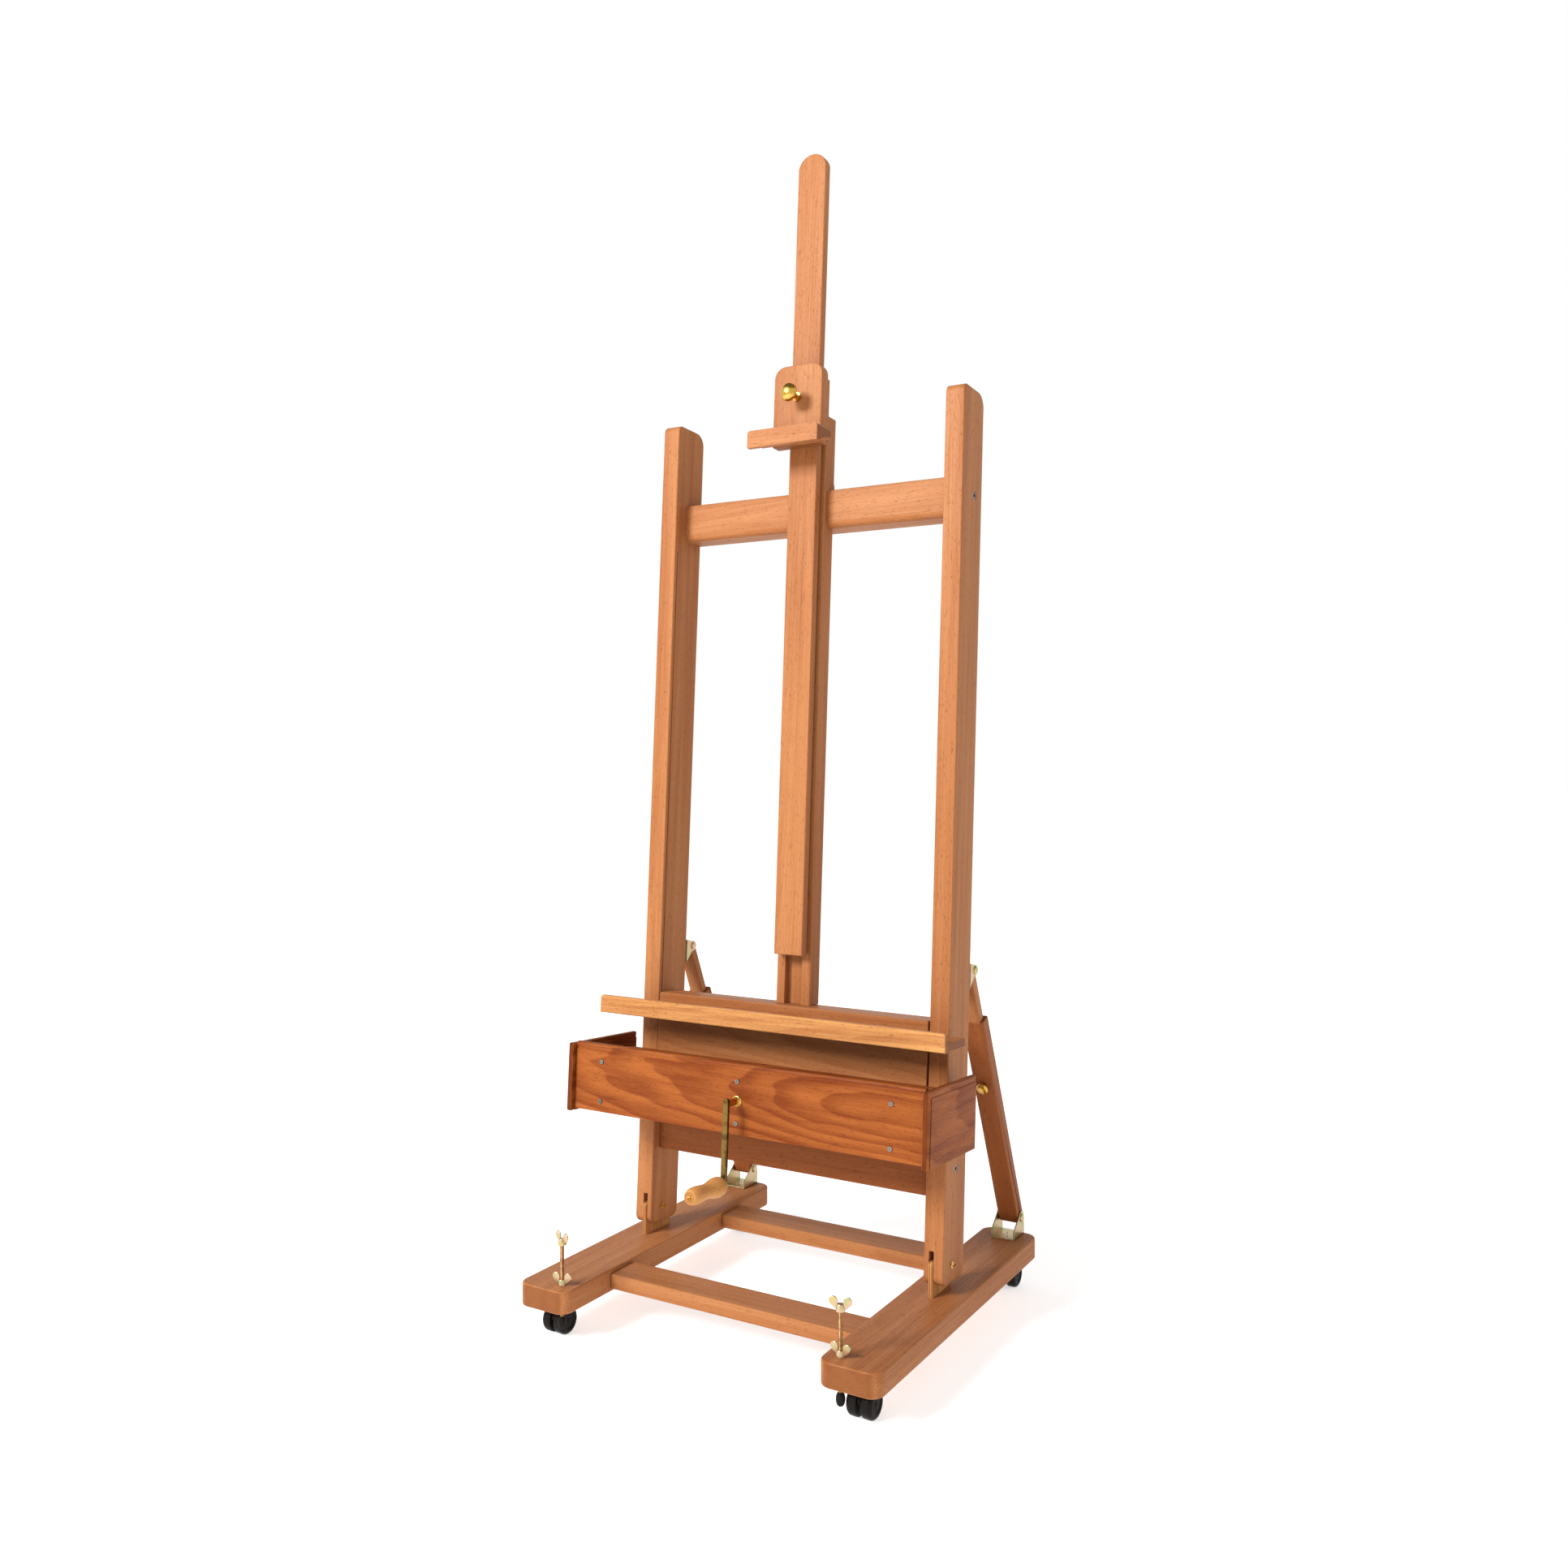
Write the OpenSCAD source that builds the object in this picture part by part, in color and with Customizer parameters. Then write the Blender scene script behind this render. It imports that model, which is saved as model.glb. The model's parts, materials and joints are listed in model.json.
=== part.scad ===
// Crank-operated wooden studio easel on castors, shown with its canvas carriage at the lowest stop.
// Origin: on the floor, in the middle of the base. +Z up, -Y towards the painter, +X to the painter's right.
// Pieces on the leaning frame are drawn in frame coordinates: x across, depth behind the front face of the
// uprights, height above the tilt pivot. on_frame() leans them back.

/* [Base] */
// Length of each foot, front to back
foot_length = 563; // [540:1:600]
// Width of each foot
foot_width = 88; // [80:1:92]
// Thickness of each foot
foot_thickness = 33; // [30:1:36]
// Distance from the middle of the easel to the middle of a foot
foot_centre = 246; // [244:1:248]
// Height of the castors under the feet
castor_height = 46; // [44:1:50]
// Width of each cross rail
rail_width = 58; // [50:1:66]

/* [Frame] */
// Rest angle of the frame behind the vertical
lean = 3.57; // [0:0.01:6]
// Distance from the middle of the easel to the inner face of an upright
upright_inner = 235; // [235:1:235]
// Thickness of an upright
upright_thickness = 30; // [28:1:32]
// Depth of an upright, front to back
upright_depth = 72; // [68:1:76]
// Height of the uprights' top above the tilt pivot
upright_top = 1256; // [1200:1:1320]

/* [Carriage] */
// Half length of the canvas ledge
ledge_half = 292.7; // [280:0.1:300]
// Height of the canvas shelf's top above the tilt pivot, carriage down
shelf_top = 322.6; // [322:0.1:324]
// Height of the crank shaft above the tilt pivot, carriage down
crank_height = 219.3; // [219.3:0.1:219.3]
// Radius of the crank
crank_radius = 111; // [100:1:115]

/* [Masts] */
// Top of the fixed lower mast above the tilt pivot
lower_mast_top = 1242; // [1200:1:1300]
// Tip of the sliding upper mast above the tilt pivot
upper_mast_top = 1653; // [1600:1:1700]
// Height of the canvas clamp's knob above the tilt pivot
clamp_height = 1262; // [1250:1:1300]

/* [Hidden] */
$fn = 48;

// Base
foot_bottom = castor_height;
foot_top = foot_bottom + foot_thickness;
foot_inner = foot_centre - foot_width / 2;
foot_corner = 19;
rail_bottom = 51;
rail_top = 73;
rail_front_y = -148.5;
rail_rear_y = 150;
tenon_depth = 30;
tenon_half_width = 20;
tenon_thickness = 12;

// Tilt pivot
pivot_y = -1.4;
pivot_z = 118.6;
pivot_depth = 29.7;
pivot_r = 5;
running_gap = 0.05;
tongue_x = 243.4;
tongue_thickness = 6.4;
tongue_half_length = 32;

// Castors and levelers
castor_x = 248;
castor_front_y = -225;
castor_rear_y = 246;
castor_trail = 11.5;
wheel_r = 19.5;
wheel_width = 16.4;
wheel_offset = 11.2;
axle_r = 2.5;
stem_r = 4;
leveler_x = 225.5;
leveler_y = -258.5;
leveler_rod_r = 3;
leveler_pad_bottom = 17;
leveler_top = 137;

// Struts
strut_x = 248.4;
strut_bottom_y = 268.2;
strut_bottom_z = 106.2;
strut_bolt_depth = 92.1;
strut_bolt_height = 407.7;
strut_bolt_dy = strut_bolt_height * sin(lean) + (strut_bolt_depth - pivot_depth) * cos(lean);
strut_bolt_dz = strut_bolt_height * cos(lean) - (strut_bolt_depth - pivot_depth) * sin(lean);
strut_run = strut_bottom_y - pivot_y - strut_bolt_dy;
strut_rise = pivot_z + strut_bolt_dz - strut_bottom_z;
strut_angle = atan2(strut_run, strut_rise);
strut_length = norm([strut_run, strut_rise]);
strut_bolt_r = 4;
strut_bar_width = 24;
strut_bar_half = 7.5;
strut_case_width = 33;
strut_case_front = -8.5;
strut_case_back = 13.5;
strut_floor = 9;
strut_case_length = 367;
strut_recess_start = 99;
strut_knob_at = 253;

// Brackets of the struts
bracket_front = 234.8;
bracket_back = 279;
bracket_outer = strut_case_width / 2 + 2.5;
bracket_sheet = 2;
bracket_screw_ys = [243, 255];
top_bracket_low = 380.6;
top_bracket_high = 418.6;
top_bracket_sheet = 1.6;
top_bracket_screws = [386, 396];

// Frame
bar_bottom = 1069;
bar_top = 1128;
bar_front = 28;
notch_half = 33.5;
notch_back = 50;
board_bottom = 93;
board_top = 163.9;
board_front = 15;
board_back = 42;
groove_front = 7;
groove_width = 5;
groove_depth = 15;
groove_bottom = 140;
groove_top = 1048;
frame_screw_r = 3;
frame_screw_head_r = 6.2;
frame_screw_high = [45, 1100];
frame_screw_low = [37, 132.6];

// Lift gearing: the worms turn the pinions, which climb the racks
gear_module = 2.5;
pinion_teeth = 16;
pinion_r = gear_module * pinion_teeth / 2;
tooth_pitch = PI * gear_module;
addendum = gear_module;
dedendum = 1.25 * gear_module;
rack_pitch_x = 242.5;
pinion_x = rack_pitch_x - pinion_r;
worm_r = 7.5;
pinion_height = crank_height - pinion_r - worm_r;
gear_depth = 9.5;
shaft_r = 4;
backlash = 0.5;
miter_r = 10;
miter_length = 4;
rack_bottom = 150;
rack_teeth = 101;
rack_first = pinion_height + tooth_pitch / 2 - 5 * tooth_pitch;

// Carriage
shelf_bottom = 311;
shelf_front = -66;
lip_front = -75.7;
lip_bottom = 310.5;
lip_top = 337.3;
between = 233.5;
panel_front = -2;
panel_back = 20;
panel_bottom = 236;
tray_half = 290.9;
tray_outer = 299.5;
tray_front_face = -131.5;
tray_front_back = -121.5;
tray_front_bottom = 171.9;
tray_front_top = 272.6;
tray_floor_bottom = 175.6;
tray_floor_top = 184.6;
tray_back_front = -11;
tray_back_top = 250;
rib_half = 12;
side_rib_x = 241.7;
screw_rows = [187.6, 246.5];

// Crank
bush_r = 7;
crank_front = -161;
crank_bar = 6;
crank_half = 4.2;
grip_height = crank_height - crank_radius;
grip_front = -243;
grip_back = crank_front - 0.8;

// Masts
back_bar_front = -1;
back_bar_back = 43;
back_bar_top = 340.6;
mast_half = 29.5;
mast_front = 18.4;
mast_glue_line = 35.7;
mast_back = 46;
mast_groove_half = 15.1;
mast_groove_floor = 29.5;
upper_half = 24.3;
upper_front = -1.5;
upper_back = 13.5;
upper_bottom = 416;
upper_tongue_half = 14.8;
upper_tongue_back = 29.2;
upper_shoulder = 1633;

// Canvas clamp
clamp_front = -24;
clamp_back = -4;
clamp_half = 42;
clamp_plate_bottom = clamp_height - 73.5;
clamp_plate_top = clamp_height + 51;
clamp_ledge_front = -67.6;
clamp_ledge_bottom = clamp_height - 83;
clamp_ledge_top = clamp_height - 57;

module on_frame() {
    translate([0, pivot_y, pivot_z])
        rotate([-lean, 0, 0])
            translate([0, -pivot_depth, 0])
                children();
}

module box(low, high) {
    translate(low)
        cube(high - low);
}

module rod_x(r, x0, x1, y, z) {
    translate([x0, y, z])
        rotate([0, 90, 0])
            cylinder(r = r, h = x1 - x0);
}

module rod_y(r, y0, y1, x, z) {
    translate([x, y0, z])
        rotate([-90, 0, 0])
            cylinder(r = r, h = y1 - y0);
}

module rod_z(r, z0, z1, x, y) {
    translate([x, y, z0])
        cylinder(r = r, h = z1 - z0);
}

module both_sides() {
    children();
    mirror([1, 0, 0])
        children();
}

// A profile drawn as (depth, height), pushed out along x
module across(x0, x1) {
    translate([x0, 0, 0])
        rotate([90, 0, 90])
            linear_extrude(x1 - x0)
                children();
}

// A profile drawn as (x, height), pushed back in depth
module backwards(d0, d1) {
    translate([0, d1, 0])
        rotate([90, 0, 0])
            linear_extrude(d1 - d0)
                children();
}

// What is cut off a corner that sits at the origin, to round it
module corner_waste(r) {
    difference() {
        translate([-1, -1])
            square(r + 1);
        translate([r, r])
            circle(r);
    }
}

module rounded_rectangle(size, r) {
    translate([r, 0])
        square([size[0] - 2 * r, size[1]]);
    translate([0, r])
        square([size[0], size[1] - 2 * r]);
    for (x = [r, size[0] - r], y = [r, size[1] - r])
        translate([x, y])
            circle(r);
}

// ---- Base ----

module foot() {
    difference() {
        translate([foot_inner, -foot_length / 2, foot_bottom])
            linear_extrude(foot_thickness)
                rounded_rectangle([foot_width, foot_length], foot_corner);
        for (y = [rail_front_y, rail_rear_y])
            rail_tenon(y);
        rod_z(leveler_rod_r + 0.2, foot_bottom - 1, foot_top + 1, leveler_x, leveler_y);
        for (y = [castor_front_y, castor_rear_y])
            rod_z(stem_r + running_gap, foot_bottom - 1, foot_bottom + 26, castor_x, y);
        pivot_tongue();
        for (y = bracket_screw_ys)
            rod_z(2 + running_gap, foot_top - 7.5, foot_top + 1, strut_x, y);
    }
}

module foot_right() {
    color("peru")
        foot();
}

module foot_left() {
    color("peru")
        mirror([1, 0, 0])
            foot();
}

module rail_tenon(y) {
    z = (rail_bottom + rail_top - tenon_thickness) / 2;
    box([foot_inner - 1, y - tenon_half_width, z],
        [foot_inner + tenon_depth, y + tenon_half_width, z + tenon_thickness]);
}

module base_rails() {
    color("peru")
        for (y = [rail_front_y, rail_rear_y])
            union() {
                box([-foot_inner, y - rail_width / 2, rail_bottom],
                    [foot_inner, y + rail_width / 2, rail_top]);
                both_sides()
                    rail_tenon(y);
            }
}

// The tongue stands in the foot and in the slot of the upright
module pivot_tongue() {
    foot_root = foot_top - 20;
    difference() {
        across(tongue_x, tongue_x + tongue_thickness)
            translate([pivot_y - tongue_half_length, foot_root])
                difference() {
                    square([2 * tongue_half_length, pivot_z + 11 - foot_root]);
                    translate([0, pivot_z + 11 - foot_root])
                        mirror([0, 1])
                            corner_waste(8);
                    translate([2 * tongue_half_length, pivot_z + 11 - foot_root])
                        mirror([1, 0])
                            mirror([0, 1])
                                corner_waste(8);
                }
        rod_x(pivot_r + running_gap, tongue_x - 1, tongue_x + tongue_thickness + 1, pivot_y, pivot_z);
    }
}

module pivot_tongues() {
    color("burlywood")
        both_sides()
            pivot_tongue();
}

// Low domed head of a pivot bolt, its flat side at the origin and its dome towards +z
module bolt_dome() {
    rotate_extrude()
        polygon([[0, 0], [9, 0], [8.8, 1.2], [7.6, 2.7], [5.4, 3.9], [2.8, 4.5], [0, 4.7]]);
}

module pivot_bolts() {
    outer = upright_inner + upright_thickness + 0.3;
    inner = upright_inner - 0.3;
    color("goldenrod")
        both_sides()
            union() {
                rod_x(pivot_r, inner - 1, outer + 1, pivot_y, pivot_z);
                translate([outer, pivot_y, pivot_z])
                    rotate([0, 90, 0])
                        bolt_dome();
                translate([inner, pivot_y, pivot_z])
                    rotate([0, -90, 0])
                        bolt_dome();
            }
}

// U-shaped sheet bracket: a base plate with two ears that hold the strut's lower pin
module foot_bracket() {
    ear_r = 10;
    difference() {
        union() {
            box([strut_x - bracket_outer, bracket_front, foot_top],
                [strut_x + bracket_outer, bracket_back, foot_top + bracket_sheet]);
            for (x = [strut_x - bracket_outer, strut_x + bracket_outer - bracket_sheet])
                across(x, x + bracket_sheet)
                    union() {
                        translate([bracket_front, foot_top])
                            square([bracket_back - bracket_front, 10]);
                        translate([strut_bottom_y, strut_bottom_z])
                            circle(ear_r);
                        translate([strut_bottom_y - ear_r, foot_top])
                            square([2 * ear_r, strut_bottom_z - foot_top]);
                        polygon([[bracket_front, foot_top + 10], [strut_bottom_y - ear_r, foot_top + 10],
                                 [strut_bottom_y - ear_r, strut_bottom_z]]);
                    }
        }
        rod_x(strut_bolt_r + running_gap, strut_x - 30, strut_x + 30, strut_bottom_y, strut_bottom_z);
        for (y = bracket_screw_ys)
            rod_z(2 + running_gap, foot_top - 1, foot_top + 10, strut_x, y);
    }
}

module foot_brackets() {
    color("khaki")
        both_sides()
            foot_bracket();
}

module foot_bracket_hardware() {
    reach = bracket_outer + 3;
    color("khaki")
        both_sides() {
            union() {
                rod_x(strut_bolt_r, strut_x - reach, strut_x + reach, strut_bottom_y, strut_bottom_z);
                for (x = [strut_x - reach, strut_x + bracket_outer])
                    rod_x(7, x, x + 3, strut_bottom_y, strut_bottom_z);
            }
            for (y = bracket_screw_ys)
                union() {
                    rod_z(2, foot_top - 7, foot_top + bracket_sheet + 1, strut_x, y);
                    rod_z(3.6, foot_top + bracket_sheet, foot_top + bracket_sheet + 2, strut_x, y);
                }
        }
}

// ---- Castors ----

// side is 1 on the painter's right and -1 on the left
module castor_at(side, y) {
    translate([side * castor_x, y, 0])
        children();
}

// The wheels trail towards the back when trail is 1 and towards the front when it is -1
module castor_housing(trail) {
    top = foot_bottom - 0.5;
    hood_half = 13;
    color("dimgray")
        difference() {
            union() {
                rod_z(stem_r, top - 1, foot_bottom + 25, 0, 0);
                rod_z(11, wheel_r + 20.3, top, 0, 0);
                across(-1.8, 1.8)
                    union() {
                        translate([trail * castor_trail, wheel_r])
                            circle(wheel_r - 3);
                        translate([min(0, trail * castor_trail) - 7, wheel_r])
                            square([14 + castor_trail, 21]);
                    }
                difference() {
                    across(-hood_half, hood_half)
                        intersection() {
                            translate([trail * castor_trail, wheel_r])
                                circle(wheel_r + 2.2);
                            translate([trail * castor_trail - 24, wheel_r + 12])
                                square([48, 30]);
                        }
                    across(-hood_half - 1, hood_half + 1)
                        translate([trail * castor_trail, wheel_r])
                            circle(wheel_r + 0.8);
                }
            }
            rod_x(axle_r + running_gap, -3, 3, trail * castor_trail, wheel_r);
        }
}

module castor_wheels(trail) {
    color("black")
        translate([0, trail * castor_trail, wheel_r])
            rotate([0, 90, 0])
                union() {
                    translate([0, 0, -wheel_offset])
                        cylinder(r = axle_r, h = 2 * wheel_offset);
                    for (side = [0, 1])
                        mirror([0, 0, side])
                            translate([0, 0, wheel_offset - wheel_width / 2])
                                rotate_extrude()
                                    wheel_profile();
                }
}

// Half section of one wheel with a domed outer face
module wheel_profile() {
    intersection() {
        square([wheel_r, wheel_width]);
        union() {
            square([wheel_r, wheel_width - 6]);
            translate([wheel_r - 9, wheel_width - 9])
                circle(9);
            square([wheel_r - 9, wheel_width]);
        }
    }
}

module castor_housing_front_left() {
    castor_at(-1, castor_front_y)
        castor_housing(-1);
}

module castor_housing_front_right() {
    castor_at(1, castor_front_y)
        castor_housing(-1);
}

module castor_housing_rear_left() {
    castor_at(-1, castor_rear_y)
        castor_housing(1);
}

module castor_housing_rear_right() {
    castor_at(1, castor_rear_y)
        castor_housing(1);
}

module castor_wheels_front_left() {
    castor_at(-1, castor_front_y)
        castor_wheels(-1);
}

module castor_wheels_front_right() {
    castor_at(1, castor_front_y)
        castor_wheels(-1);
}

module castor_wheels_rear_left() {
    castor_at(-1, castor_rear_y)
        castor_wheels(1);
}

module castor_wheels_rear_right() {
    castor_at(1, castor_rear_y)
        castor_wheels(1);
}

// ---- Levelers ----

module wing_nut(z, bore) {
    difference() {
        union() {
            translate([0, 0, z])
                cylinder(r1 = 6, r2 = 4.6, h = 9);
            for (side = [-1, 1])
                backwards(-1.1, 1.1)
                    union() {
                        translate([side * 9.4, z + 12])
                            circle(6);
                        polygon([[side * 3, z + 1], [side * 3, z + 9], [side * 5, z + 16],
                                 [side * 13, z + 7]]);
                    }
        }
        rod_z(bore, z - 1, z + 30, 0, 0);
    }
}

module leveler_screw() {
    color("sienna")
        union() {
            rod_z(leveler_rod_r, leveler_pad_bottom + 8, leveler_top + 9, 0, 0);
            wing_nut(leveler_top, leveler_rod_r - 0.5);
        }
}

module leveler_screw_right() {
    translate([leveler_x, leveler_y, 0])
        leveler_screw();
}

module leveler_screw_left() {
    translate([-leveler_x, leveler_y, 0])
        leveler_screw();
}

module leveler_pad() {
    color("black")
        translate([0, 0, leveler_pad_bottom])
            difference() {
                rotate_extrude()
                    intersection() {
                        square([6.8, 19]);
                        union() {
                            translate([0, 6])
                                circle(7.4);
                            translate([0, 12])
                                circle(7.4);
                        }
                    }
                rod_z(leveler_rod_r + running_gap, 8, 20, 0, 0);
            }
}

module leveler_pad_right() {
    translate([leveler_x, leveler_y, 0])
        leveler_pad();
}

module leveler_pad_left() {
    translate([-leveler_x, leveler_y, 0])
        leveler_pad();
}

module leveler_lock_nuts() {
    color("khaki")
        both_sides()
            translate([leveler_x, leveler_y, 0])
                wing_nut(foot_top, leveler_rod_r + running_gap);
}

// ---- Frame ----

module upright_profile() {
    bottom = -24.4;
    difference() {
        translate([0, bottom])
            square([upright_depth, upright_top - bottom]);
        translate([0, bottom])
            corner_waste(13);
        translate([upright_depth, bottom])
            mirror([1, 0])
                corner_waste(13);
        translate([0, upright_top])
            mirror([0, 1])
                corner_waste(10);
        translate([upright_depth, upright_top])
            mirror([1, 0])
                mirror([0, 1])
                    corner_waste(20);
    }
}

module upright() {
    outer = upright_inner + upright_thickness;
    difference() {
        across(upright_inner, outer)
            upright_profile();
        box([tongue_x - 0.6, -1, -30], [tongue_x + tongue_thickness + 0.8, upright_depth + 1, 23]);
        rod_x(pivot_r + running_gap, upright_inner - 1, outer + 1, pivot_depth, 0);
        box([upright_inner - 1, groove_front, groove_bottom],
            [upright_inner + groove_depth, groove_front + groove_width, groove_top]);
        for (at = [frame_screw_high, frame_screw_low]) {
            rod_x(frame_screw_r + 0.1, upright_inner - 1, outer + 1, at[0], at[1]);
            rod_x(frame_screw_head_r + 0.1, outer - 3, outer + 1, at[0], at[1]);
        }
    }
}

module upright_right() {
    color("peru")
        on_frame()
            upright();
}

module upright_left() {
    color("peru")
        on_frame()
            mirror([1, 0, 0])
                upright();
}

module crossbar_top() {
    color("peru")
        on_frame()
            difference() {
                across(-upright_inner, upright_inner)
                    difference() {
                        translate([bar_front, bar_bottom])
                            square([upright_depth - bar_front, bar_top - bar_bottom]);
                        translate([bar_front, bar_bottom])
                            corner_waste(9);
                    }
                box([-notch_half, bar_front - 1, bar_bottom - 1], [notch_half, notch_back, bar_top + 1]);
                both_sides()
                    rod_x(frame_screw_r + 0.1, upright_inner - 45, upright_inner + 1,
                          frame_screw_high[0], frame_screw_high[1]);
            }
}

module crossboard_lower() {
    color("peru")
        on_frame()
            difference() {
                box([-upright_inner, board_front, board_bottom], [upright_inner, board_back, board_top]);
                both_sides()
                    rod_x(frame_screw_r + 0.1, upright_inner - 45, upright_inner + 1,
                          frame_screw_low[0], frame_screw_low[1]);
            }
}

// Straight-sided rack teeth whose gaps meet the pinion's teeth
module rack_profile() {
    half_pitch_line = tooth_pitch / 4 - backlash / 2;
    tip = half_pitch_line - addendum * tan(20);
    root = half_pitch_line + dedendum * tan(20);
    tip_x = rack_pitch_x - addendum;
    root_x = rack_pitch_x + dedendum;
    back_x = upright_inner + groove_depth;
    teeth = [for (i = [0 : rack_teeth - 1])
                for (p = [[root_x, -root], [tip_x, -tip], [tip_x, tip], [root_x, root]])
                    [p[0], p[1] + rack_first + i * tooth_pitch]];
    top = rack_first + rack_teeth * tooth_pitch;
    polygon(concat([[back_x, rack_bottom], [root_x, rack_bottom]], teeth,
                   [[root_x, top], [back_x, top]]));
}

module lift_racks() {
    color("silver")
        on_frame()
            both_sides()
                backwards(groove_front + 0.3, groove_front + groove_width - 0.3)
                    rack_profile();
}

module frame_screws() {
    face = upright_inner + upright_thickness;
    head = face - 3;
    color("goldenrod")
        on_frame()
            both_sides() {
                for (at = [frame_screw_high, frame_screw_low])
                    difference() {
                        union() {
                            rod_x(frame_screw_r, upright_inner - 40, head + 1, at[0], at[1]);
                            rod_x(frame_screw_head_r, head, face - 0.3, at[0], at[1]);
                        }
                        translate([face - 2.2, at[0], at[1]])
                            rotate([0, 90, 0])
                                cylinder(r = 2.9, h = 4, $fn = 6);
                    }
                for (h = top_bracket_screws)
                    rod_y(3.4, upright_depth + 2, upright_depth + 4, strut_x, h);
            }
}

// Sheet bracket on the back of an upright, with two ears for the strut's upper bolt
module strut_top_bracket() {
    inner = upright_inner - 0.4;
    outer = upright_inner + upright_thickness - 0.2;
    difference() {
        union() {
            box([inner, upright_depth, top_bracket_low], [outer, upright_depth + 2, top_bracket_high]);
            for (x = [inner, outer - top_bracket_sheet])
                across(x, x + top_bracket_sheet)
                    union() {
                        polygon([[upright_depth, top_bracket_low], [upright_depth, top_bracket_high],
                                 [strut_bolt_depth, strut_bolt_height + 8],
                                 [strut_bolt_depth, strut_bolt_height - 8]]);
                        translate([strut_bolt_depth, strut_bolt_height])
                            circle(8);
                    }
        }
        rod_x(strut_bolt_r + running_gap, inner - 1, outer + 1, strut_bolt_depth, strut_bolt_height);
    }
}

module strut_top_brackets() {
    color("khaki")
        on_frame()
            both_sides()
                strut_top_bracket();
}

module strut_bolts() {
    inner = upright_inner - 0.4;
    outer = upright_inner + upright_thickness - 0.2;
    color("khaki")
        on_frame()
            both_sides()
                union() {
                    rod_x(strut_bolt_r, inner - 5, outer + 3, strut_bolt_depth, strut_bolt_height);
                    rod_x(7, outer, outer + 3, strut_bolt_depth, strut_bolt_height);
                    translate([inner - 5, strut_bolt_depth, strut_bolt_height])
                        rotate([0, 90, 0])
                            cylinder(r = 7.4, h = 5, $fn = 6);
                }
}

// ---- Struts: along the strut is z from the lower pin, y points up and back ----

module on_strut(side) {
    translate([side * strut_x, strut_bottom_y, strut_bottom_z])
        rotate([strut_angle, 0, 0])
            children();
}

module strut_lower(side) {
    half = strut_case_width / 2;
    recess_half = strut_bar_width / 2 + 0.8;
    color("peru")
        on_strut(side)
            difference() {
                across(-half, half)
                    union() {
                        translate([strut_case_front, 0])
                            square([strut_case_back - strut_case_front, strut_case_length]);
                        translate([(strut_case_front + strut_case_back) / 2, 0])
                            circle((strut_case_back - strut_case_front) / 2);
                    }
                box([-recess_half, strut_case_front - 1, strut_recess_start],
                    [recess_half, strut_floor, strut_case_length + 1]);
                box([-3.2, strut_floor - 1, strut_recess_start + 12],
                    [3.2, strut_case_back + 1, strut_case_length - 22]);
                rod_x(strut_bolt_r + running_gap, -half - 1, half + 1, 0, 0);
            }
}

module strut_lower_right() {
    strut_lower(1);
}

module strut_lower_left() {
    strut_lower(-1);
}

module strut_upper(side) {
    half = strut_bar_width / 2;
    color("peru")
        on_strut(side)
            difference() {
                across(-half, half)
                    union() {
                        translate([-strut_bar_half, strut_knob_at - 35])
                            square([2 * strut_bar_half, strut_length - strut_knob_at + 35]);
                        translate([0, strut_length])
                            circle(strut_bar_half);
                    }
                rod_x(strut_bolt_r + running_gap, -half - 1, half + 1, 0, strut_length);
                rod_y(3 + running_gap, -strut_bar_half - 1, strut_bar_half + 1, 0, strut_knob_at);
            }
}

module strut_upper_right() {
    strut_upper(1);
}

module strut_upper_left() {
    strut_upper(-1);
}

// Mushroom knob with its stud through the bar and the slot, and a thin square nut behind
module strut_knob(side) {
    color("goldenrod")
        on_strut(side)
            union() {
                rod_y(3, -strut_bar_half - 8, strut_case_back + 6.5, 0, strut_knob_at);
                rod_y(5.5, -strut_bar_half - 3.5, -strut_bar_half - 0.3, 0, strut_knob_at);
                intersection() {
                    translate([0, -strut_bar_half - 4, strut_knob_at])
                        sphere(9);
                    rod_y(10, -strut_bar_half - 12, -strut_bar_half - 3.2, 0, strut_knob_at);
                }
                rod_y(6.5, strut_case_back + 1.8, strut_case_back + 5, 0, strut_knob_at);
            }
}

module strut_knob_right() {
    strut_knob(1);
}

module strut_knob_left() {
    strut_knob(-1);
}

// ---- Carriage ----

module canvas_lip() {
    corner = 3;
    color("sandybrown")
        on_frame()
            backwards(lip_front, shelf_front)
                polygon([[-ledge_half, lip_bottom], [-ledge_half, lip_top - corner],
                         [-ledge_half + corner, lip_top], [ledge_half - corner, lip_top],
                         [ledge_half, lip_top - corner], [ledge_half, lip_bottom]]);
}

module canvas_shelf() {
    color("sandybrown")
        on_frame()
            box([2.7 - ledge_half, shelf_front, shelf_bottom], [ledge_half - 2.7, back_bar_front, shelf_top]);
}

module back_bar() {
    color("peru")
        on_frame()
            box([-between, back_bar_front, shelf_bottom], [between, back_bar_back, back_bar_top]);
}

module carriage_panel() {
    color("sienna")
        on_frame()
            difference() {
                box([-between, panel_front, panel_bottom], [between, panel_back, shelf_bottom]);
                both_sides()
                    guide_tongue();
            }
}

// Steel strip in the end of the panel that runs in the upright's groove
module guide_tongue() {
    box([between - 10, groove_front + 0.4, panel_bottom + 20],
        [upright_inner + 4, groove_front + groove_width - 0.4, shelf_bottom - 5]);
}

// Hangs behind the panel and comes down on the lower crossboard
module stop_plate() {
    half = 64.4;
    bottom = board_top + 0.5;
    color("peru")
        on_frame()
            backwards(25, 41)
                difference() {
                    translate([-half, bottom])
                        square([2 * half, shelf_bottom - bottom]);
                    for (side = [0, 1])
                        mirror([side, 0])
                            translate([-half, bottom])
                                corner_waste(14);
                }
}

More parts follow.
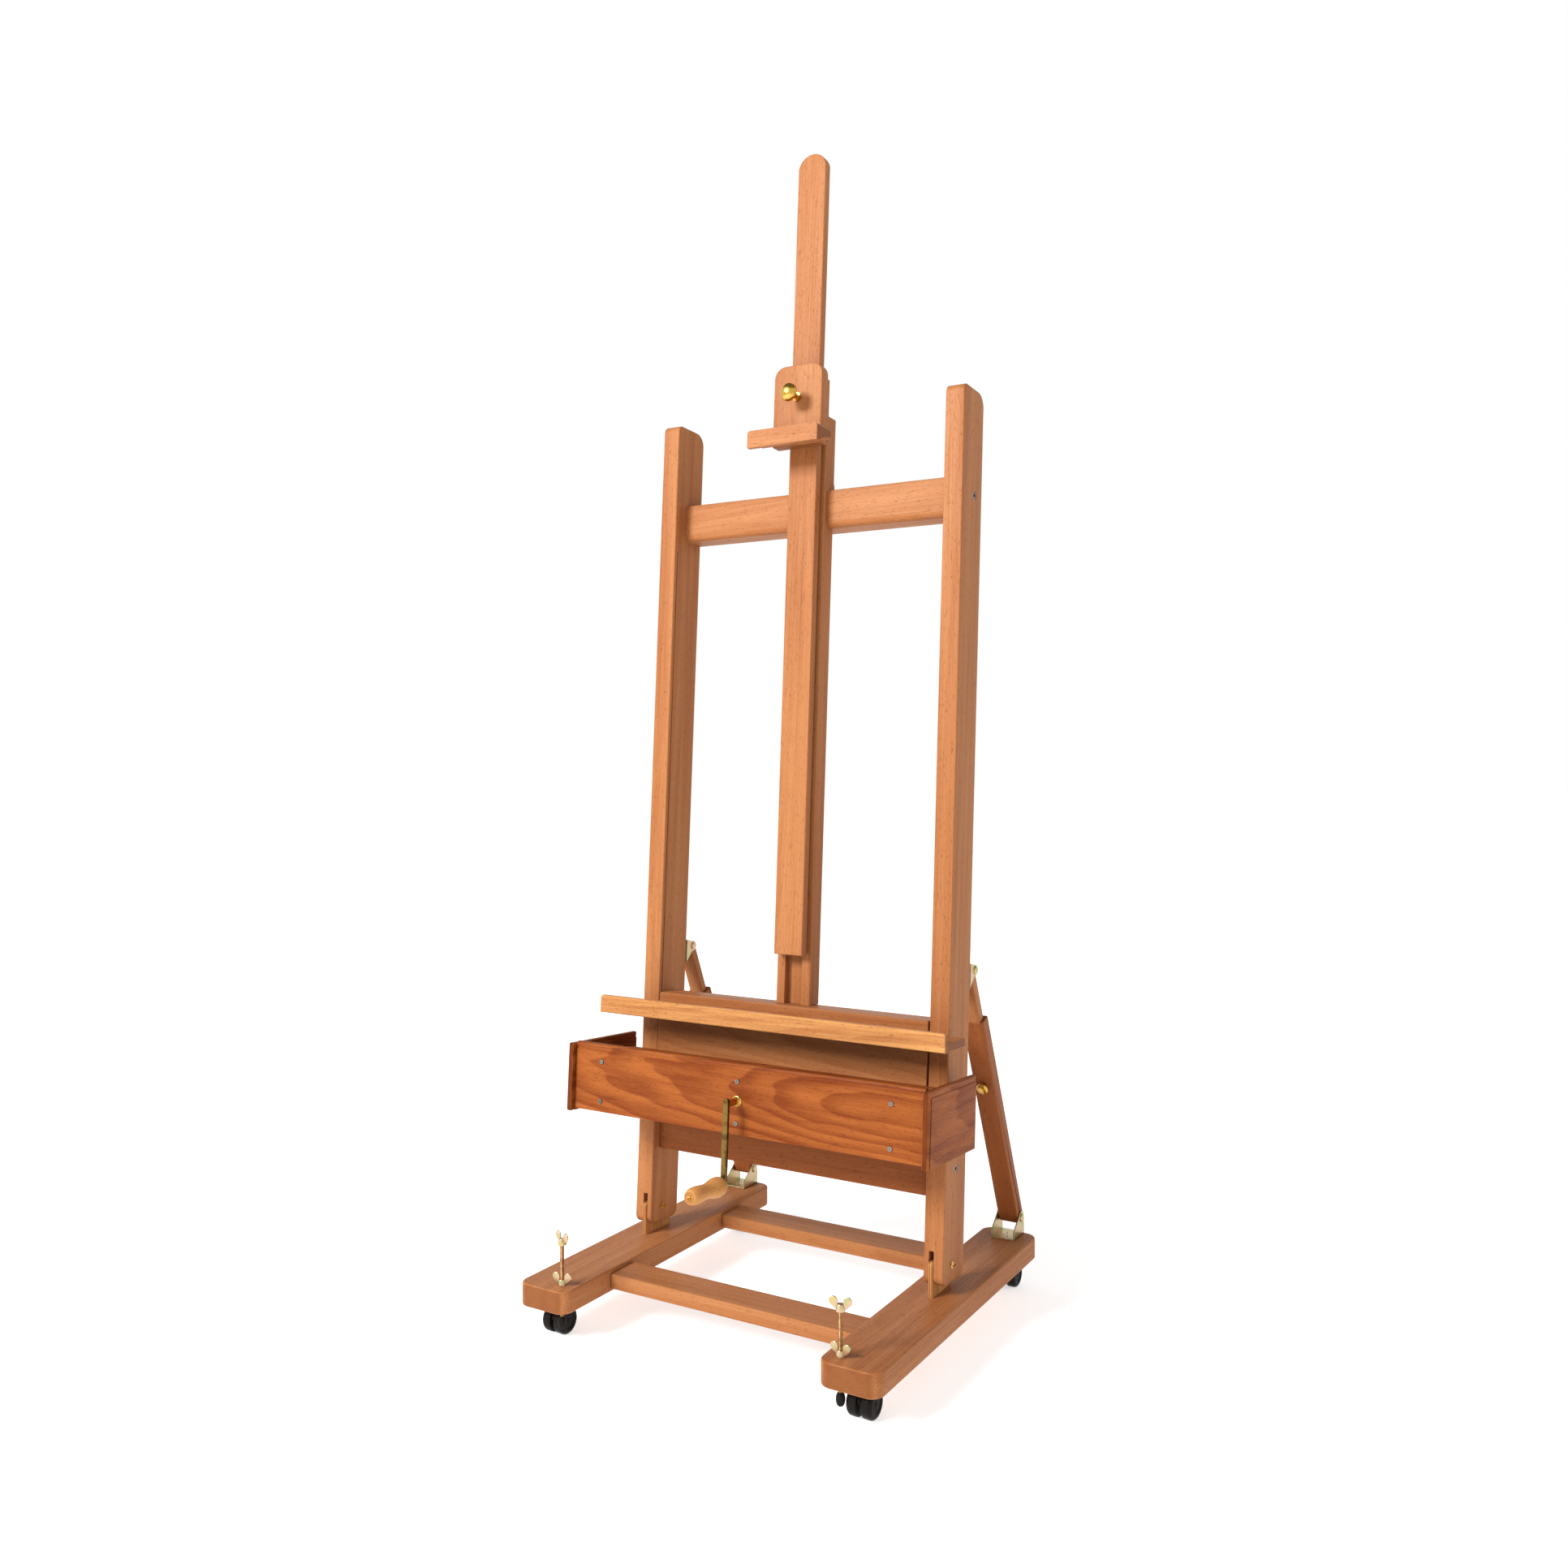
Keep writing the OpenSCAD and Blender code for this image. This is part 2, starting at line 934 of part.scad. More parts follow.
module tray_front() {
    color("sienna")
        on_frame()
            difference() {
                across(-tray_half, tray_half)
                    difference() {
                        translate([tray_front_face, tray_front_bottom])
                            square([tray_front_back - tray_front_face, tray_front_top - tray_front_bottom]);
                        translate([tray_front_face, tray_front_top])
                            mirror([0, 1])
                                corner_waste(5);
                    }
                rod_y(bush_r, tray_front_face - 1, tray_front_back + 1, 0, crank_height);
                for (x = [-side_rib_x, 0, side_rib_x], h = screw_rows)
                    rod_y(1.8, tray_front_face - 1, tray_front_back + 1, x, h);
            }
}

module tray_sides() {
    color("sienna")
        on_frame()
            both_sides()
                box([tray_half, -139.8, 168.3], [tray_outer, 20.9, 270]);
}

module tray_bottom() {
    color("peru")
        on_frame()
            box([-tray_half, tray_front_back, tray_floor_bottom], [tray_half, panel_front, tray_floor_top]);
}

module tray_back() {
    color("sienna")
        on_frame()
            difference() {
                box([-tray_half, tray_back_front, tray_floor_top], [tray_half, panel_front, tray_back_top]);
                rod_y(pivot_r + 0.3, tray_back_front - 1, panel_front + 1, 0, crank_height);
                both_sides()
                    rod_y(3, tray_back_front - 1, panel_front + 1, pinion_x, pinion_height);
            }
}

module tray_ribs() {
    color("peru")
        on_frame()
            difference() {
                for (x = [-side_rib_x, 0, side_rib_x])
                    box([x - rib_half, tray_front_back, tray_floor_top],
                        [x + rib_half, tray_back_front, tray_back_top]);
                rod_y(pivot_r + 0.3, tray_front_back - 1, tray_back_front + 1, 0, crank_height);
                for (x = [-side_rib_x, 0, side_rib_x], h = screw_rows)
                    rod_y(1.8, tray_front_back - 1, tray_front_back + 18, x, h);
            }
}

module tray_screws() {
    color("goldenrod")
        on_frame()
            for (x = [-side_rib_x, 0, side_rib_x], h = screw_rows)
                difference() {
                    union() {
                        rod_y(1.8, tray_front_face - 0.5, tray_front_back + 17, x, h);
                        rod_y(3.4, tray_front_face - 1.2, tray_front_face, x, h);
                    }
                    translate([x, tray_front_face - 0.4, h])
                        rotate([90, 0, 0])
                            cylinder(r = 1.3, h = 2, $fn = 6);
                }
}

// Brass bearing bush with its domed collar on the tray front
module crank_bush() {
    color("gold")
        on_frame()
            difference() {
                union() {
                    rod_y(bush_r, tray_front_face - 1, tray_front_back, 0, crank_height);
                    intersection() {
                        translate([0, tray_front_face + 6, crank_height])
                            sphere(10.2);
                        rod_y(8.3, tray_front_face - 6, tray_front_face, 0, crank_height);
                    }
                }
                rod_y(pivot_r + running_gap, tray_front_face - 9, tray_front_back + 1, 0, crank_height);
            }
}

module lift_fittings() {
    color("silver")
        on_frame()
            both_sides() {
                guide_tongue();
                union() {
                    rod_y(3, tray_back_front, 16, pinion_x, pinion_height);
                    rod_y(5, 14.4, 16, pinion_x, pinion_height);
                }
                for (x = [30, 186])
                    difference() {
                        box([x, panel_front, crank_height - 11], [x + 9, panel_back, panel_bottom]);
                        rod_x(shaft_r + running_gap, x - 1, x + 10, gear_depth, crank_height);
                    }
            }
}

// ---- Crank and gearing ----

// Gear outline with straight-sided teeth, the first one centred on +x
module gear_outline(m, teeth, play) {
    r = m * teeth / 2;
    half = 90 / teeth - play / 2 / r * 180 / PI;
    tip = half - 18 * m / r;
    root = half + 18 * m / r;
    tooth = [[r - 1.25 * m, -root], [r, -half], [r + m, -tip], [r + m, tip], [r, half], [r - 1.25 * m, root]];
    polygon([for (i = [0 : teeth - 1])
                for (p = tooth)
                    p[0] * [cos(p[1] + i * 360 / teeth), sin(p[1] + i * 360 / teeth)]]);
}

// Miter gear with its big end at z = 0, teeth closing in on a point miter_r above it
module miter_gear() {
    linear_extrude(height = miter_length, scale = (miter_r - miter_length) / miter_r)
        gear_outline(2 * miter_r / 16, 16, 0.7);
}

module crank_shaft() {
    color("silver")
        on_frame()
            union() {
                rod_y(pivot_r, crank_front + crank_bar, gear_depth - miter_r, 0, crank_height);
                translate([0, gear_depth - miter_r, crank_height])
                    rotate([-90, 0, 0])
                        miter_gear();
            }
}

module crank_arm() {
    color("khaki")
        on_frame()
            difference() {
                backwards(crank_front, crank_front + crank_bar)
                    translate([-crank_half, grip_height - 6])
                        rounded_rectangle([2 * crank_half, crank_radius + 13], crank_half - 0.4);
                rod_y(2.5, crank_front - 1, crank_front + crank_bar + 1, 0, grip_height);
            }
}

module grip_spindle() {
    color("gold")
        on_frame()
            union() {
                rod_y(2.5, grip_front - 1.2, crank_front + crank_bar, 0, grip_height);
                intersection() {
                    translate([0, grip_front + 3, grip_height])
                        sphere(6);
                    rod_y(5, grip_front - 4, grip_front - 0.4, 0, grip_height);
                }
            }
}

module crank_grip() {
    length = grip_back - grip_front;
    color("burlywood")
        on_frame()
            translate([0, grip_back, grip_height])
                rotate([90, 0, 0])
                    difference() {
                        rotate_extrude()
                            polygon([[0, 0], [7.5, 0], [11.5, 4], [13.6, 10], [14, 18], [12.8, 26],
                                     [10.8, 34], [10.4, 42], [11.3, 52], [12, 62], [11.6, 72],
                                     [9.5, length - 2], [7.5, length], [0, length]]);
                        translate([0, 0, -1])
                            cylinder(r = 2.5 + running_gap, h = length + 2);
                    }
}

// Thread of a worm, its section turned steadily along z. It has more play than the rack, because the
// thread slants across the pinion's straight teeth
module worm(turns) {
    half_pitch_line = tooth_pitch / 4 - backlash;
    tip = half_pitch_line - addendum * tan(20);
    root = half_pitch_line + dedendum * tan(20);
    steps = 18;
    linear_extrude(height = turns * tooth_pitch, twist = 360 * turns, slices = 10 * turns, $fn = steps)
        polygon([for (i = [0 : steps - 1])
                    let (a = 360 * i / steps,
                         s = abs(a > 180 ? a - 360 : a) / 360 * tooth_pitch,
                         way = min(1, max(0, (s - tip) / (root - tip))))
                        (worm_r + addendum - way * (addendum + dedendum)) * [cos(a), sin(a)]]);
}

module cross_shaft() {
    worm_start = pinion_x + tooth_pitch / 4 - 2 * tooth_pitch;
    color("silver")
        on_frame()
            union() {
                rod_x(shaft_r, 0.5 - between, between - 0.5, gear_depth, crank_height);
                translate([miter_r, gear_depth, crank_height])
                    rotate([0, -90, 0])
                        rotate([0, 0, 180 / 16])
                            miter_gear();
                rod_x(7, miter_r, miter_r + 7, gear_depth, crank_height);
                both_sides()
                    translate([worm_start, gear_depth, crank_height])
                        rotate([90, 0, 90])
                            worm(3);
            }
}

module lift_pinion() {
    difference() {
        union() {
            backwards(7.5, 11.5)
                translate([pinion_x, pinion_height])
                    gear_outline(gear_module, pinion_teeth, backlash);
            rod_y(6.5, -1.5, 14, pinion_x, pinion_height);
        }
        rod_y(3 + running_gap, -3, 15, pinion_x, pinion_height);
    }
}

module lift_pinion_right() {
    color("silver")
        on_frame()
            lift_pinion();
}

module lift_pinion_left() {
    color("silver")
        on_frame()
            mirror([1, 0, 0])
                lift_pinion();
}

// ---- Masts ----

module mast_lower() {
    color("peru")
        on_frame() {
            difference() {
                box([-mast_half, mast_front, back_bar_top], [mast_half, mast_glue_line, lower_mast_top]);
                box([-mast_groove_half, mast_front - 1, back_bar_top - 1],
                    [mast_groove_half, mast_groove_floor, lower_mast_top + 1]);
            }
            box([-mast_half, mast_glue_line, back_bar_top], [mast_half, mast_back, lower_mast_top]);
        }
}

// Finger grip on the back of the lower mast, just above the top crossbar
module mast_cleat() {
    half = 22;
    color("peru")
        on_frame()
            across(-half, half)
                difference() {
                    translate([mast_back, bar_top + 1])
                        square([17, 33]);
                    translate([mast_back + 21, bar_top + 34])
                        circle(17);
                }
}

module mast_upper() {
    arch_r = (upper_half * upper_half + 400) / 40;
    color("peru")
        on_frame()
            union() {
                difference() {
                    backwards(upper_front, upper_back)
                        union() {
                            translate([-upper_half, upper_bottom])
                                square([2 * upper_half, upper_shoulder - upper_bottom]);
                            intersection() {
                                translate([0, upper_mast_top - arch_r])
                                    circle(arch_r);
                                translate([-upper_half, upper_shoulder - 1])
                                    square([2 * upper_half, 40]);
                            }
                        }
                    both_sides()
                        box([upper_half - 3, 2, upper_bottom - 1], [upper_half + 1, 5, upper_shoulder]);
                }
                box([-upper_tongue_half, upper_back - 0.5, upper_bottom],
                    [upper_tongue_half, upper_tongue_back, upper_shoulder]);
            }
}

// ---- Canvas clamp ----

module clamp_plate() {
    color("peru")
        on_frame()
            difference() {
                union() {
                    backwards(clamp_front, clamp_back)
                        difference() {
                            translate([-clamp_half, clamp_plate_bottom])
                                square([2 * clamp_half, clamp_plate_top - clamp_plate_bottom]);
                            for (side = [0, 1])
                                mirror([side, 0])
                                    translate([-clamp_half, clamp_plate_top])
                                        mirror([0, 1])
                                            corner_waste(18.5);
                        }
                    both_sides() {
                        box([upper_half + 0.5, clamp_back - 1, clamp_plate_bottom + 10],
                            [upper_half + 13, 9, clamp_plate_top - 20]);
                        box([upper_half - 2.4, 2.4, clamp_plate_bottom + 10],
                            [upper_half + 1, 4.6, clamp_plate_top - 20]);
                    }
                }
                rod_y(4 + running_gap, clamp_front - 1, clamp_back + 1, 0, clamp_height);
            }
}

// Ledge that bears on the top edge of the canvas, coved underneath behind its lip
module clamp_ledge() {
    half = 61;
    cove_r = 64.4;
    color("peru")
        on_frame()
            difference() {
                across(-half, half)
                    difference() {
                        translate([clamp_ledge_front, clamp_ledge_bottom])
                            square([clamp_front - clamp_ledge_front, clamp_ledge_top - clamp_ledge_bottom]);
                        translate([clamp_front, clamp_ledge_bottom + 11 - cove_r])
                            circle(cove_r, $fn = 180);
                    }
                both_sides()
                    backwards(clamp_ledge_front - 1, clamp_front + 1)
                        translate([-half, clamp_ledge_top])
                            mirror([0, 1])
                                corner_waste(5.5);
            }
}

module clamp_knob() {
    color("gold")
        on_frame()
            union() {
                rod_y(4, -48, clamp_back + 0.4, 0, clamp_height);
                rod_y(7, clamp_front - 4, clamp_front - 0.4, 0, clamp_height);
                intersection() {
                    translate([0, -44, clamp_height])
                        sphere(16.4);
                    rod_y(14, -62, -48, 0, clamp_height);
                }
            }
}

foot_left();
foot_right();
base_rails();
pivot_tongues();
pivot_bolts();
foot_brackets();
foot_bracket_hardware();
castor_housing_front_left();
castor_housing_front_right();
castor_housing_rear_left();
castor_housing_rear_right();
castor_wheels_front_left();
castor_wheels_front_right();
castor_wheels_rear_left();
castor_wheels_rear_right();
leveler_screw_left();
leveler_screw_right();
leveler_pad_left();
leveler_pad_right();
leveler_lock_nuts();
upright_left();
upright_right();
crossbar_top();
crossboard_lower();
lift_racks();
frame_screws();
strut_top_brackets();
strut_bolts();
strut_lower_left();
strut_lower_right();
strut_upper_left();
strut_upper_right();
strut_knob_left();
strut_knob_right();
canvas_lip();
canvas_shelf();
back_bar();
carriage_panel();
stop_plate();
tray_front();
tray_sides();
tray_bottom();
tray_back();
tray_ribs();
tray_screws();
crank_bush();
lift_fittings();
mast_lower();
mast_cleat();
crank_shaft();
crank_arm();
grip_spindle();
crank_grip();
cross_shaft();
lift_pinion_left();
lift_pinion_right();
mast_upper();
clamp_plate();
clamp_ledge();
clamp_knob();
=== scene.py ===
"""Looks of the crank studio easel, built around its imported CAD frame.

Pieces are drawn in millimetres, in one of three systems: ROW is the model's own frame, LEAN is the leaning
frame (x across, depth behind the front of the uprights, height above the tilt pivot), and STRUT has z along
a rear strut. Each system is a matrix that turns its millimetres into the model's metres.
"""

import json
import math

import bmesh
import bpy
from mathutils import Matrix, Vector


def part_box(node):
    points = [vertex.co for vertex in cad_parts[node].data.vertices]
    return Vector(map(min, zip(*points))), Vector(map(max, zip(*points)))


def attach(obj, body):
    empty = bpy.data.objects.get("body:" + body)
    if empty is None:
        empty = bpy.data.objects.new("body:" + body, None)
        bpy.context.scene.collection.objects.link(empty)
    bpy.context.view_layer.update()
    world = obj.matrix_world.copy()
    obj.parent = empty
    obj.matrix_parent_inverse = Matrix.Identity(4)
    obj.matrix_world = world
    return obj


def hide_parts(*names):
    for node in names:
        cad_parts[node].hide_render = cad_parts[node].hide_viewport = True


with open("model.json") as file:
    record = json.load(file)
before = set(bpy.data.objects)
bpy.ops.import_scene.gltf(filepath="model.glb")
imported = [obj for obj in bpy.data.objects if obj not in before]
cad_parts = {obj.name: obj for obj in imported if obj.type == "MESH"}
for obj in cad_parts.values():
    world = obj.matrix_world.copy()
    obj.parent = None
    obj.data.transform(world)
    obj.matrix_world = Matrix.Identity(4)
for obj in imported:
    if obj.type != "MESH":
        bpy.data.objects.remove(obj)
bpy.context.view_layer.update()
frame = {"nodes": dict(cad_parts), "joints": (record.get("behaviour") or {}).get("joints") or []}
nodes = frame["nodes"]
joints = {joint["name"]: joint for joint in frame["joints"]}
SIDES = {"left": -1, "right": 1}
MM = 0.001
PIVOT_DEPTH = 29.7  # of the tilt pivot behind the front of the uprights


# ---- Systems of coordinates ----


def system(origin, x, y, z):
    turn = Matrix((x, y, z)).transposed().to_4x4()
    return Matrix.Translation(origin) @ turn @ Matrix.Scale(MM, 4)


def lean_system():
    up = Vector(joints["carriage_lift"]["axis"]).normalized()
    back = up.cross(Vector((1, 0, 0)))
    pivot = Vector(joints["frame_tilt"]["pos_m"])
    return system(pivot - back * PIVOT_DEPTH * MM, Vector((1, 0, 0)), back, up)


def strut_system(side):
    pin = Vector(joints[f"strut_lower_{side}_swing"]["pos_m"])
    back = -Vector(joints[f"strut_knob_{side}_turn"]["axis"]).normalized()
    return system(pin, Vector((1, 0, 0)), back, Vector((1, 0, 0)).cross(back))


ROW = Matrix.Scale(MM, 4)
LEAN = lean_system()
STRUT = {side: strut_system(side) for side in SIDES}


def extent(node, place=ROW):
    """Lowest and highest corner of a CAD node, in millimetres of a system."""
    to_local = place.inverted()
    points = [to_local @ v.co for v in nodes[node].data.vertices]
    low = Vector([min(p[i] for p in points) for i in range(3)])
    high = Vector([max(p[i] for p in points) for i in range(3)])
    return low, high


def at(joint, place=ROW):
    """Where a joint is, in millimetres of a system."""
    return place.inverted() @ Vector(joints[joint]["pos_m"])


# ---- Outlines ----


def arc(centre, radius, start, end, steps=8):
    """Points along an arc, in degrees."""
    turns = [math.radians(start + (end - start) * i / steps) for i in range(steps + 1)]
    return [(centre[0] + radius * math.cos(t), centre[1] + radius * math.sin(t)) for t in turns]


def rounded(low, high, radii, steps=8):
    """Counter-clockwise rectangle. The radii go round from the low corner: (low, low), (high, low)..."""
    if not isinstance(radii, (list, tuple)):
        radii = [radii] * 4
    corners = [(low[0], low[1]), (high[0], low[1]), (high[0], high[1]), (low[0], high[1])]
    points = []
    for i, (corner, r) in enumerate(zip(corners, radii)):
        inward = [(1, 1), (-1, 1), (-1, -1), (1, -1)][i]
        if r <= 0:
            points.append(corner)
            continue
        centre = (corner[0] + inward[0] * r, corner[1] + inward[1] * r)
        points += arc(centre, r, 180 + 90 * i, 270 + 90 * i, steps)
    return points


def inset(outline, distance):
    """The counter-clockwise outline moved inwards."""
    moved = []
    for i, here in enumerate(outline):
        before, after = Vector(outline[i - 1]), Vector(outline[(i + 1) % len(outline)])
        first = (Vector(here) - before).normalized()
        second = (after - Vector(here)).normalized()
        a, b = Vector((-first.y, first.x)), Vector((-second.y, second.x))
        moved.append(Vector(here) + (a + b) * distance / max(0.2, 1 + a.dot(b)))
    return moved


# ---- Meshes ----

PLANES = {"xy": (0, 1, 2), "xz": (0, 2, 1), "yz": (1, 2, 0)}


def slab(outline, low, high, plane="xy", edge=2.0, steps=3):
    """A board: an outline given thickness, all its long edges rounded."""
    first, second, third = PLANES[plane]
    edge = min(edge, (high - low) / 2 - 0.01)
    rings = []
    for i in range(steps + 1):
        t = math.radians(90 * i / steps)
        rings.append((edge * (1 - math.sin(t)), low + edge * (1 - math.cos(t))))
    rings += [(gap, low + high - depth) for gap, depth in reversed(rings)]
    bm = bmesh.new()
    loops = []
    for gap, depth in rings:
        loop = []
        for point in inset(outline, gap):
            co = [0, 0, 0]
            co[first], co[second], co[third] = point[0], point[1], depth
            loop.append(bm.verts.new(co))
        loops.append(loop)
    count = len(outline)
    for lower, upper in zip(loops, loops[1:]):
        for i in range(count):
            j = (i + 1) % count
            bm.faces.new((lower[i], lower[j], upper[j], upper[i]))
    bm.faces.new(list(reversed(loops[0])))
    bm.faces.new(loops[-1])
    bmesh.ops.recalc_face_normals(bm, faces=bm.faces)
    return bm


def block(low, high, edge=1.5, corner=None):
    """A rectangular piece with rounded edges, its section across its longest side."""
    size = [high[i] - low[i] for i in range(3)]
    along = size.index(max(size))
    plane = {0: "yz", 1: "xz", 2: "xy"}[along]
    first, second, third = PLANES[plane]
    corner = edge if corner is None else corner
    outline = rounded((low[first], low[second]), (high[first], high[second]), corner, 4)
    return slab(outline, low[third], high[third], plane, edge)


def lathe(profile, steps=40):
    """Turned piece: (radius, height) points from one end of its z axis to the other."""
    bm = bmesh.new()
    rings = []
    for radius, height in profile:
        if radius < 1e-6:
            rings.append([bm.verts.new((0, 0, height))])
            continue
        turns = [2 * math.pi * i / steps for i in range(steps)]
        rings.append([bm.verts.new((radius * math.cos(t), radius * math.sin(t), height)) for t in turns])
    for lower, upper in zip(rings, rings[1:]):
        for i in range(steps):
            j = (i + 1) % steps
            corners = [lower[i % len(lower)], lower[j % len(lower)],
                       upper[j % len(upper)], upper[i % len(upper)]]
            unique = list(dict.fromkeys(corners))
            if len(unique) > 2:
                bm.faces.new(unique)
    for ring in (rings[0], rings[-1]):
        if len(ring) > 1:
            bm.faces.new(ring)
    bmesh.ops.recalc_face_normals(bm, faces=bm.faces)
    return bm


def rod(radius, low, high, steps=24):
    """Plain rod along z."""
    return lathe([(radius, low), (radius, high)], steps)


def dome(radius, height, steps=8, base=0.0):
    """Profile of a low dome standing on z = base."""
    turns = [math.radians(90 * i / steps) for i in range(steps + 1)]
    return [(radius * math.cos(t), height * math.sin(t) + base) for t in turns]


def button(flange, rim, radius, height, steps=30):
    """Domed head of a bolt or screw: a flange as thick as rim, with a dome on it."""
    return lathe([(0, 0), (flange, 0), (flange, rim)] + dome(radius, height, base=rim), steps)


def threaded(radius, low, high, pitch, depth, around=20, per_turn=6):
    """A rod with a helical thread."""
    bm = bmesh.new()
    rows = []
    count = round((high - low) / pitch * per_turn)
    for k in range(count + 1):
        height = low + (high - low) * k / count
        row = []
        for i in range(around):
            phase = (height / pitch - i / around) % 1
            ridge = min(1.0, 3.2 * min(phase, 1 - phase))
            t = 2 * math.pi * i / around
            r = radius - depth * (1 - ridge)
            row.append(bm.verts.new((r * math.cos(t), r * math.sin(t), height)))
        rows.append(row)
    for lower, upper in zip(rows, rows[1:]):
        for i in range(around):
            j = (i + 1) % around
            bm.faces.new((lower[i], lower[j], upper[j], upper[i]))
    bm.faces.new(list(reversed(rows[0])))
    bm.faces.new(rows[-1])
    return bm


def joined(*parts):
    """Several meshes as one."""
    whole = bmesh.new()
    for part in parts:
        mesh = bpy.data.meshes.new("part")
        part.to_mesh(mesh)
        part.free()
        whole.from_mesh(mesh)
        bpy.data.meshes.remove(mesh)
    return whole


def moved(bm, matrix):
    bm.transform(matrix)
    if matrix.to_3x3().determinant() < 0:
        bmesh.ops.reverse_faces(bm, faces=bm.faces)
    return bm


def shift(x, y, z):
    return Matrix.Translation((x, y, z))


def turn(degrees, axis):
    return Matrix.Rotation(math.radians(degrees), 4, axis)


MIRROR = Matrix.Scale(-1, 4, (1, 0, 0))


def as_mesh(name, bm):
    mesh = bpy.data.meshes.new(name)
    bm.to_mesh(mesh)
    bm.free()
    return mesh


def carve(bm, cutters):
    """Cuts the cutters out of the mesh."""
    solid = bpy.data.objects.new("solid", as_mesh("solid", bm))
    tool = bpy.data.objects.new("tool", as_mesh("tool", joined(*cutters)))
    for item in (solid, tool):
        bpy.context.scene.collection.objects.link(item)
    cut = solid.modifiers.new("cut", "BOOLEAN")
    cut.operation = "DIFFERENCE"
    cut.solver = "EXACT"
    cut.object = tool
    cut.use_self = True
    bpy.context.view_layer.update()
    result = bmesh.new()
    result.from_mesh(solid.evaluated_get(bpy.context.evaluated_depsgraph_get()).to_mesh())
    bmesh.ops.dissolve_degenerate(result, dist=0.001, edges=result.edges)
    bmesh.ops.triangulate(result, faces=[f for f in result.faces if len(f.verts) > 4])
    for item in (solid, tool):
        data = item.data
        bpy.data.objects.remove(item)
        bpy.data.meshes.remove(data)
    return result


def piece(name, bm, place, body, material, stands_for=(), sharp=38):
    """Puts a mesh into the scene as one piece that rides on a body."""
    moved(bm, place)
    mesh = as_mesh(name, bm)
    mesh.polygons.foreach_set("use_smooth", [True] * len(mesh.polygons))
    mesh.set_sharp_from_angle(angle=math.radians(sharp))
    mesh.materials.append(material)
    made = bpy.data.objects.new(name, mesh)
    bpy.context.scene.collection.objects.link(made)
    even = made.modifiers.new("even_shading", "WEIGHTED_NORMAL")
    even.keep_sharp = True
    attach(made, body)
    if stands_for:
        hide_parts(*stands_for)
    return made


# ---- Materials ----


class Nodes:
    """A material's node tree, with short ways to add what the finishes below need."""

    def __init__(self, name):
        self.material = bpy.data.materials.new(name)
        self.material.use_nodes = True
        self.tree = self.material.node_tree
        self.shader = next(n for n in self.tree.nodes if n.type == "BSDF_PRINCIPLED")
        self.coords = self.tree.nodes.new("ShaderNodeTexCoord")

    def link(self, source, target):
        self.tree.links.new(source, target)

    def put(self, socket, value):
        if isinstance(value, bpy.types.NodeSocket):
            self.link(value, socket)
        else:
            socket.default_value = value

    def add(self, kind, **settings):
        node = self.tree.nodes.new(kind)
        for key, value in settings.items():
            setattr(node, key, value)
        return node

    def math(self, operation, a, b=0.0, c=0.0):
        node = self.add("ShaderNodeMath", operation=operation)
        for socket, value in zip(node.inputs, (a, b, c)):
            self.put(socket, value)
        return node.outputs[0]

    def vector(self, operation, a, b=(0, 0, 0)):
        node = self.add("ShaderNodeVectorMath", operation=operation)
        self.put(node.inputs[0], a)
        self.put(node.inputs[1], b)
        return node.outputs["Value" if operation in ("LENGTH", "DOT_PRODUCT") else "Vector"]

    def noise(self, vector, scale, detail=2.0, colour=False):
        node = self.add("ShaderNodeTexNoise")
        node.inputs["Detail"].default_value = detail
        node.inputs["Scale"].default_value = 1.0
        self.link(self.vector("MULTIPLY", vector, scale), node.inputs["Vector"])
        return node.outputs["Color" if colour else "Fac"]

    def span(self, value, low, high, to_low=0.0, to_high=1.0):
        node = self.add("ShaderNodeMapRange", interpolation_type="SMOOTHSTEP")
        self.put(node.inputs["Value"], value)
        for key, number in zip(("From Min", "From Max", "To Min", "To Max"), (low, high, to_low, to_high)):
            node.inputs[key].default_value = number
        return node.outputs[0]

    def mix(self, factor, a, b, blend="MIX"):
        node = self.add("ShaderNodeMix", data_type="RGBA", blend_type=blend)
        self.put(node.inputs["Factor"], factor)
        for socket, value in ((node.inputs[6], a), (node.inputs[7], b)):
            self.put(socket, value if isinstance(value, bpy.types.NodeSocket) else (*value, 1.0))
        return node.outputs[2]

    def bump(self, height, strength, distance):
        node = self.add("ShaderNodeBump")
        node.inputs["Strength"].default_value = strength
        node.inputs["Distance"].default_value = distance
        self.link(height, node.inputs["Height"])
        self.link(node.outputs[0], self.shader.inputs["Normal"])


BEECH_LIGHT = (0.405, 0.166, 0.062)
BEECH_DARK = (0.272, 0.086, 0.026)
SHADED_LIGHT = (0.29, 0.092, 0.028)
SHADED_DARK = (0.20, 0.052, 0.014)
PLY_LIGHT = (0.32, 0.090, 0.019)
PLY_DARK = (0.165, 0.033, 0.006)
GRIP_LIGHT = (0.62, 0.30, 0.10)
GRIP_DARK = (0.44, 0.18, 0.05)
VENEER_PAIR = 0.0032  # thickness of a light and a dark layer of plywood
DRAWN = {"count": 0}


def draw(low, high):
    """The next number of a fixed series, so that no two boards are cut from the same place."""
    DRAWN["count"] += 1
    return low + (high - low) * ((DRAWN["count"] * 0.6180339887) % 1)


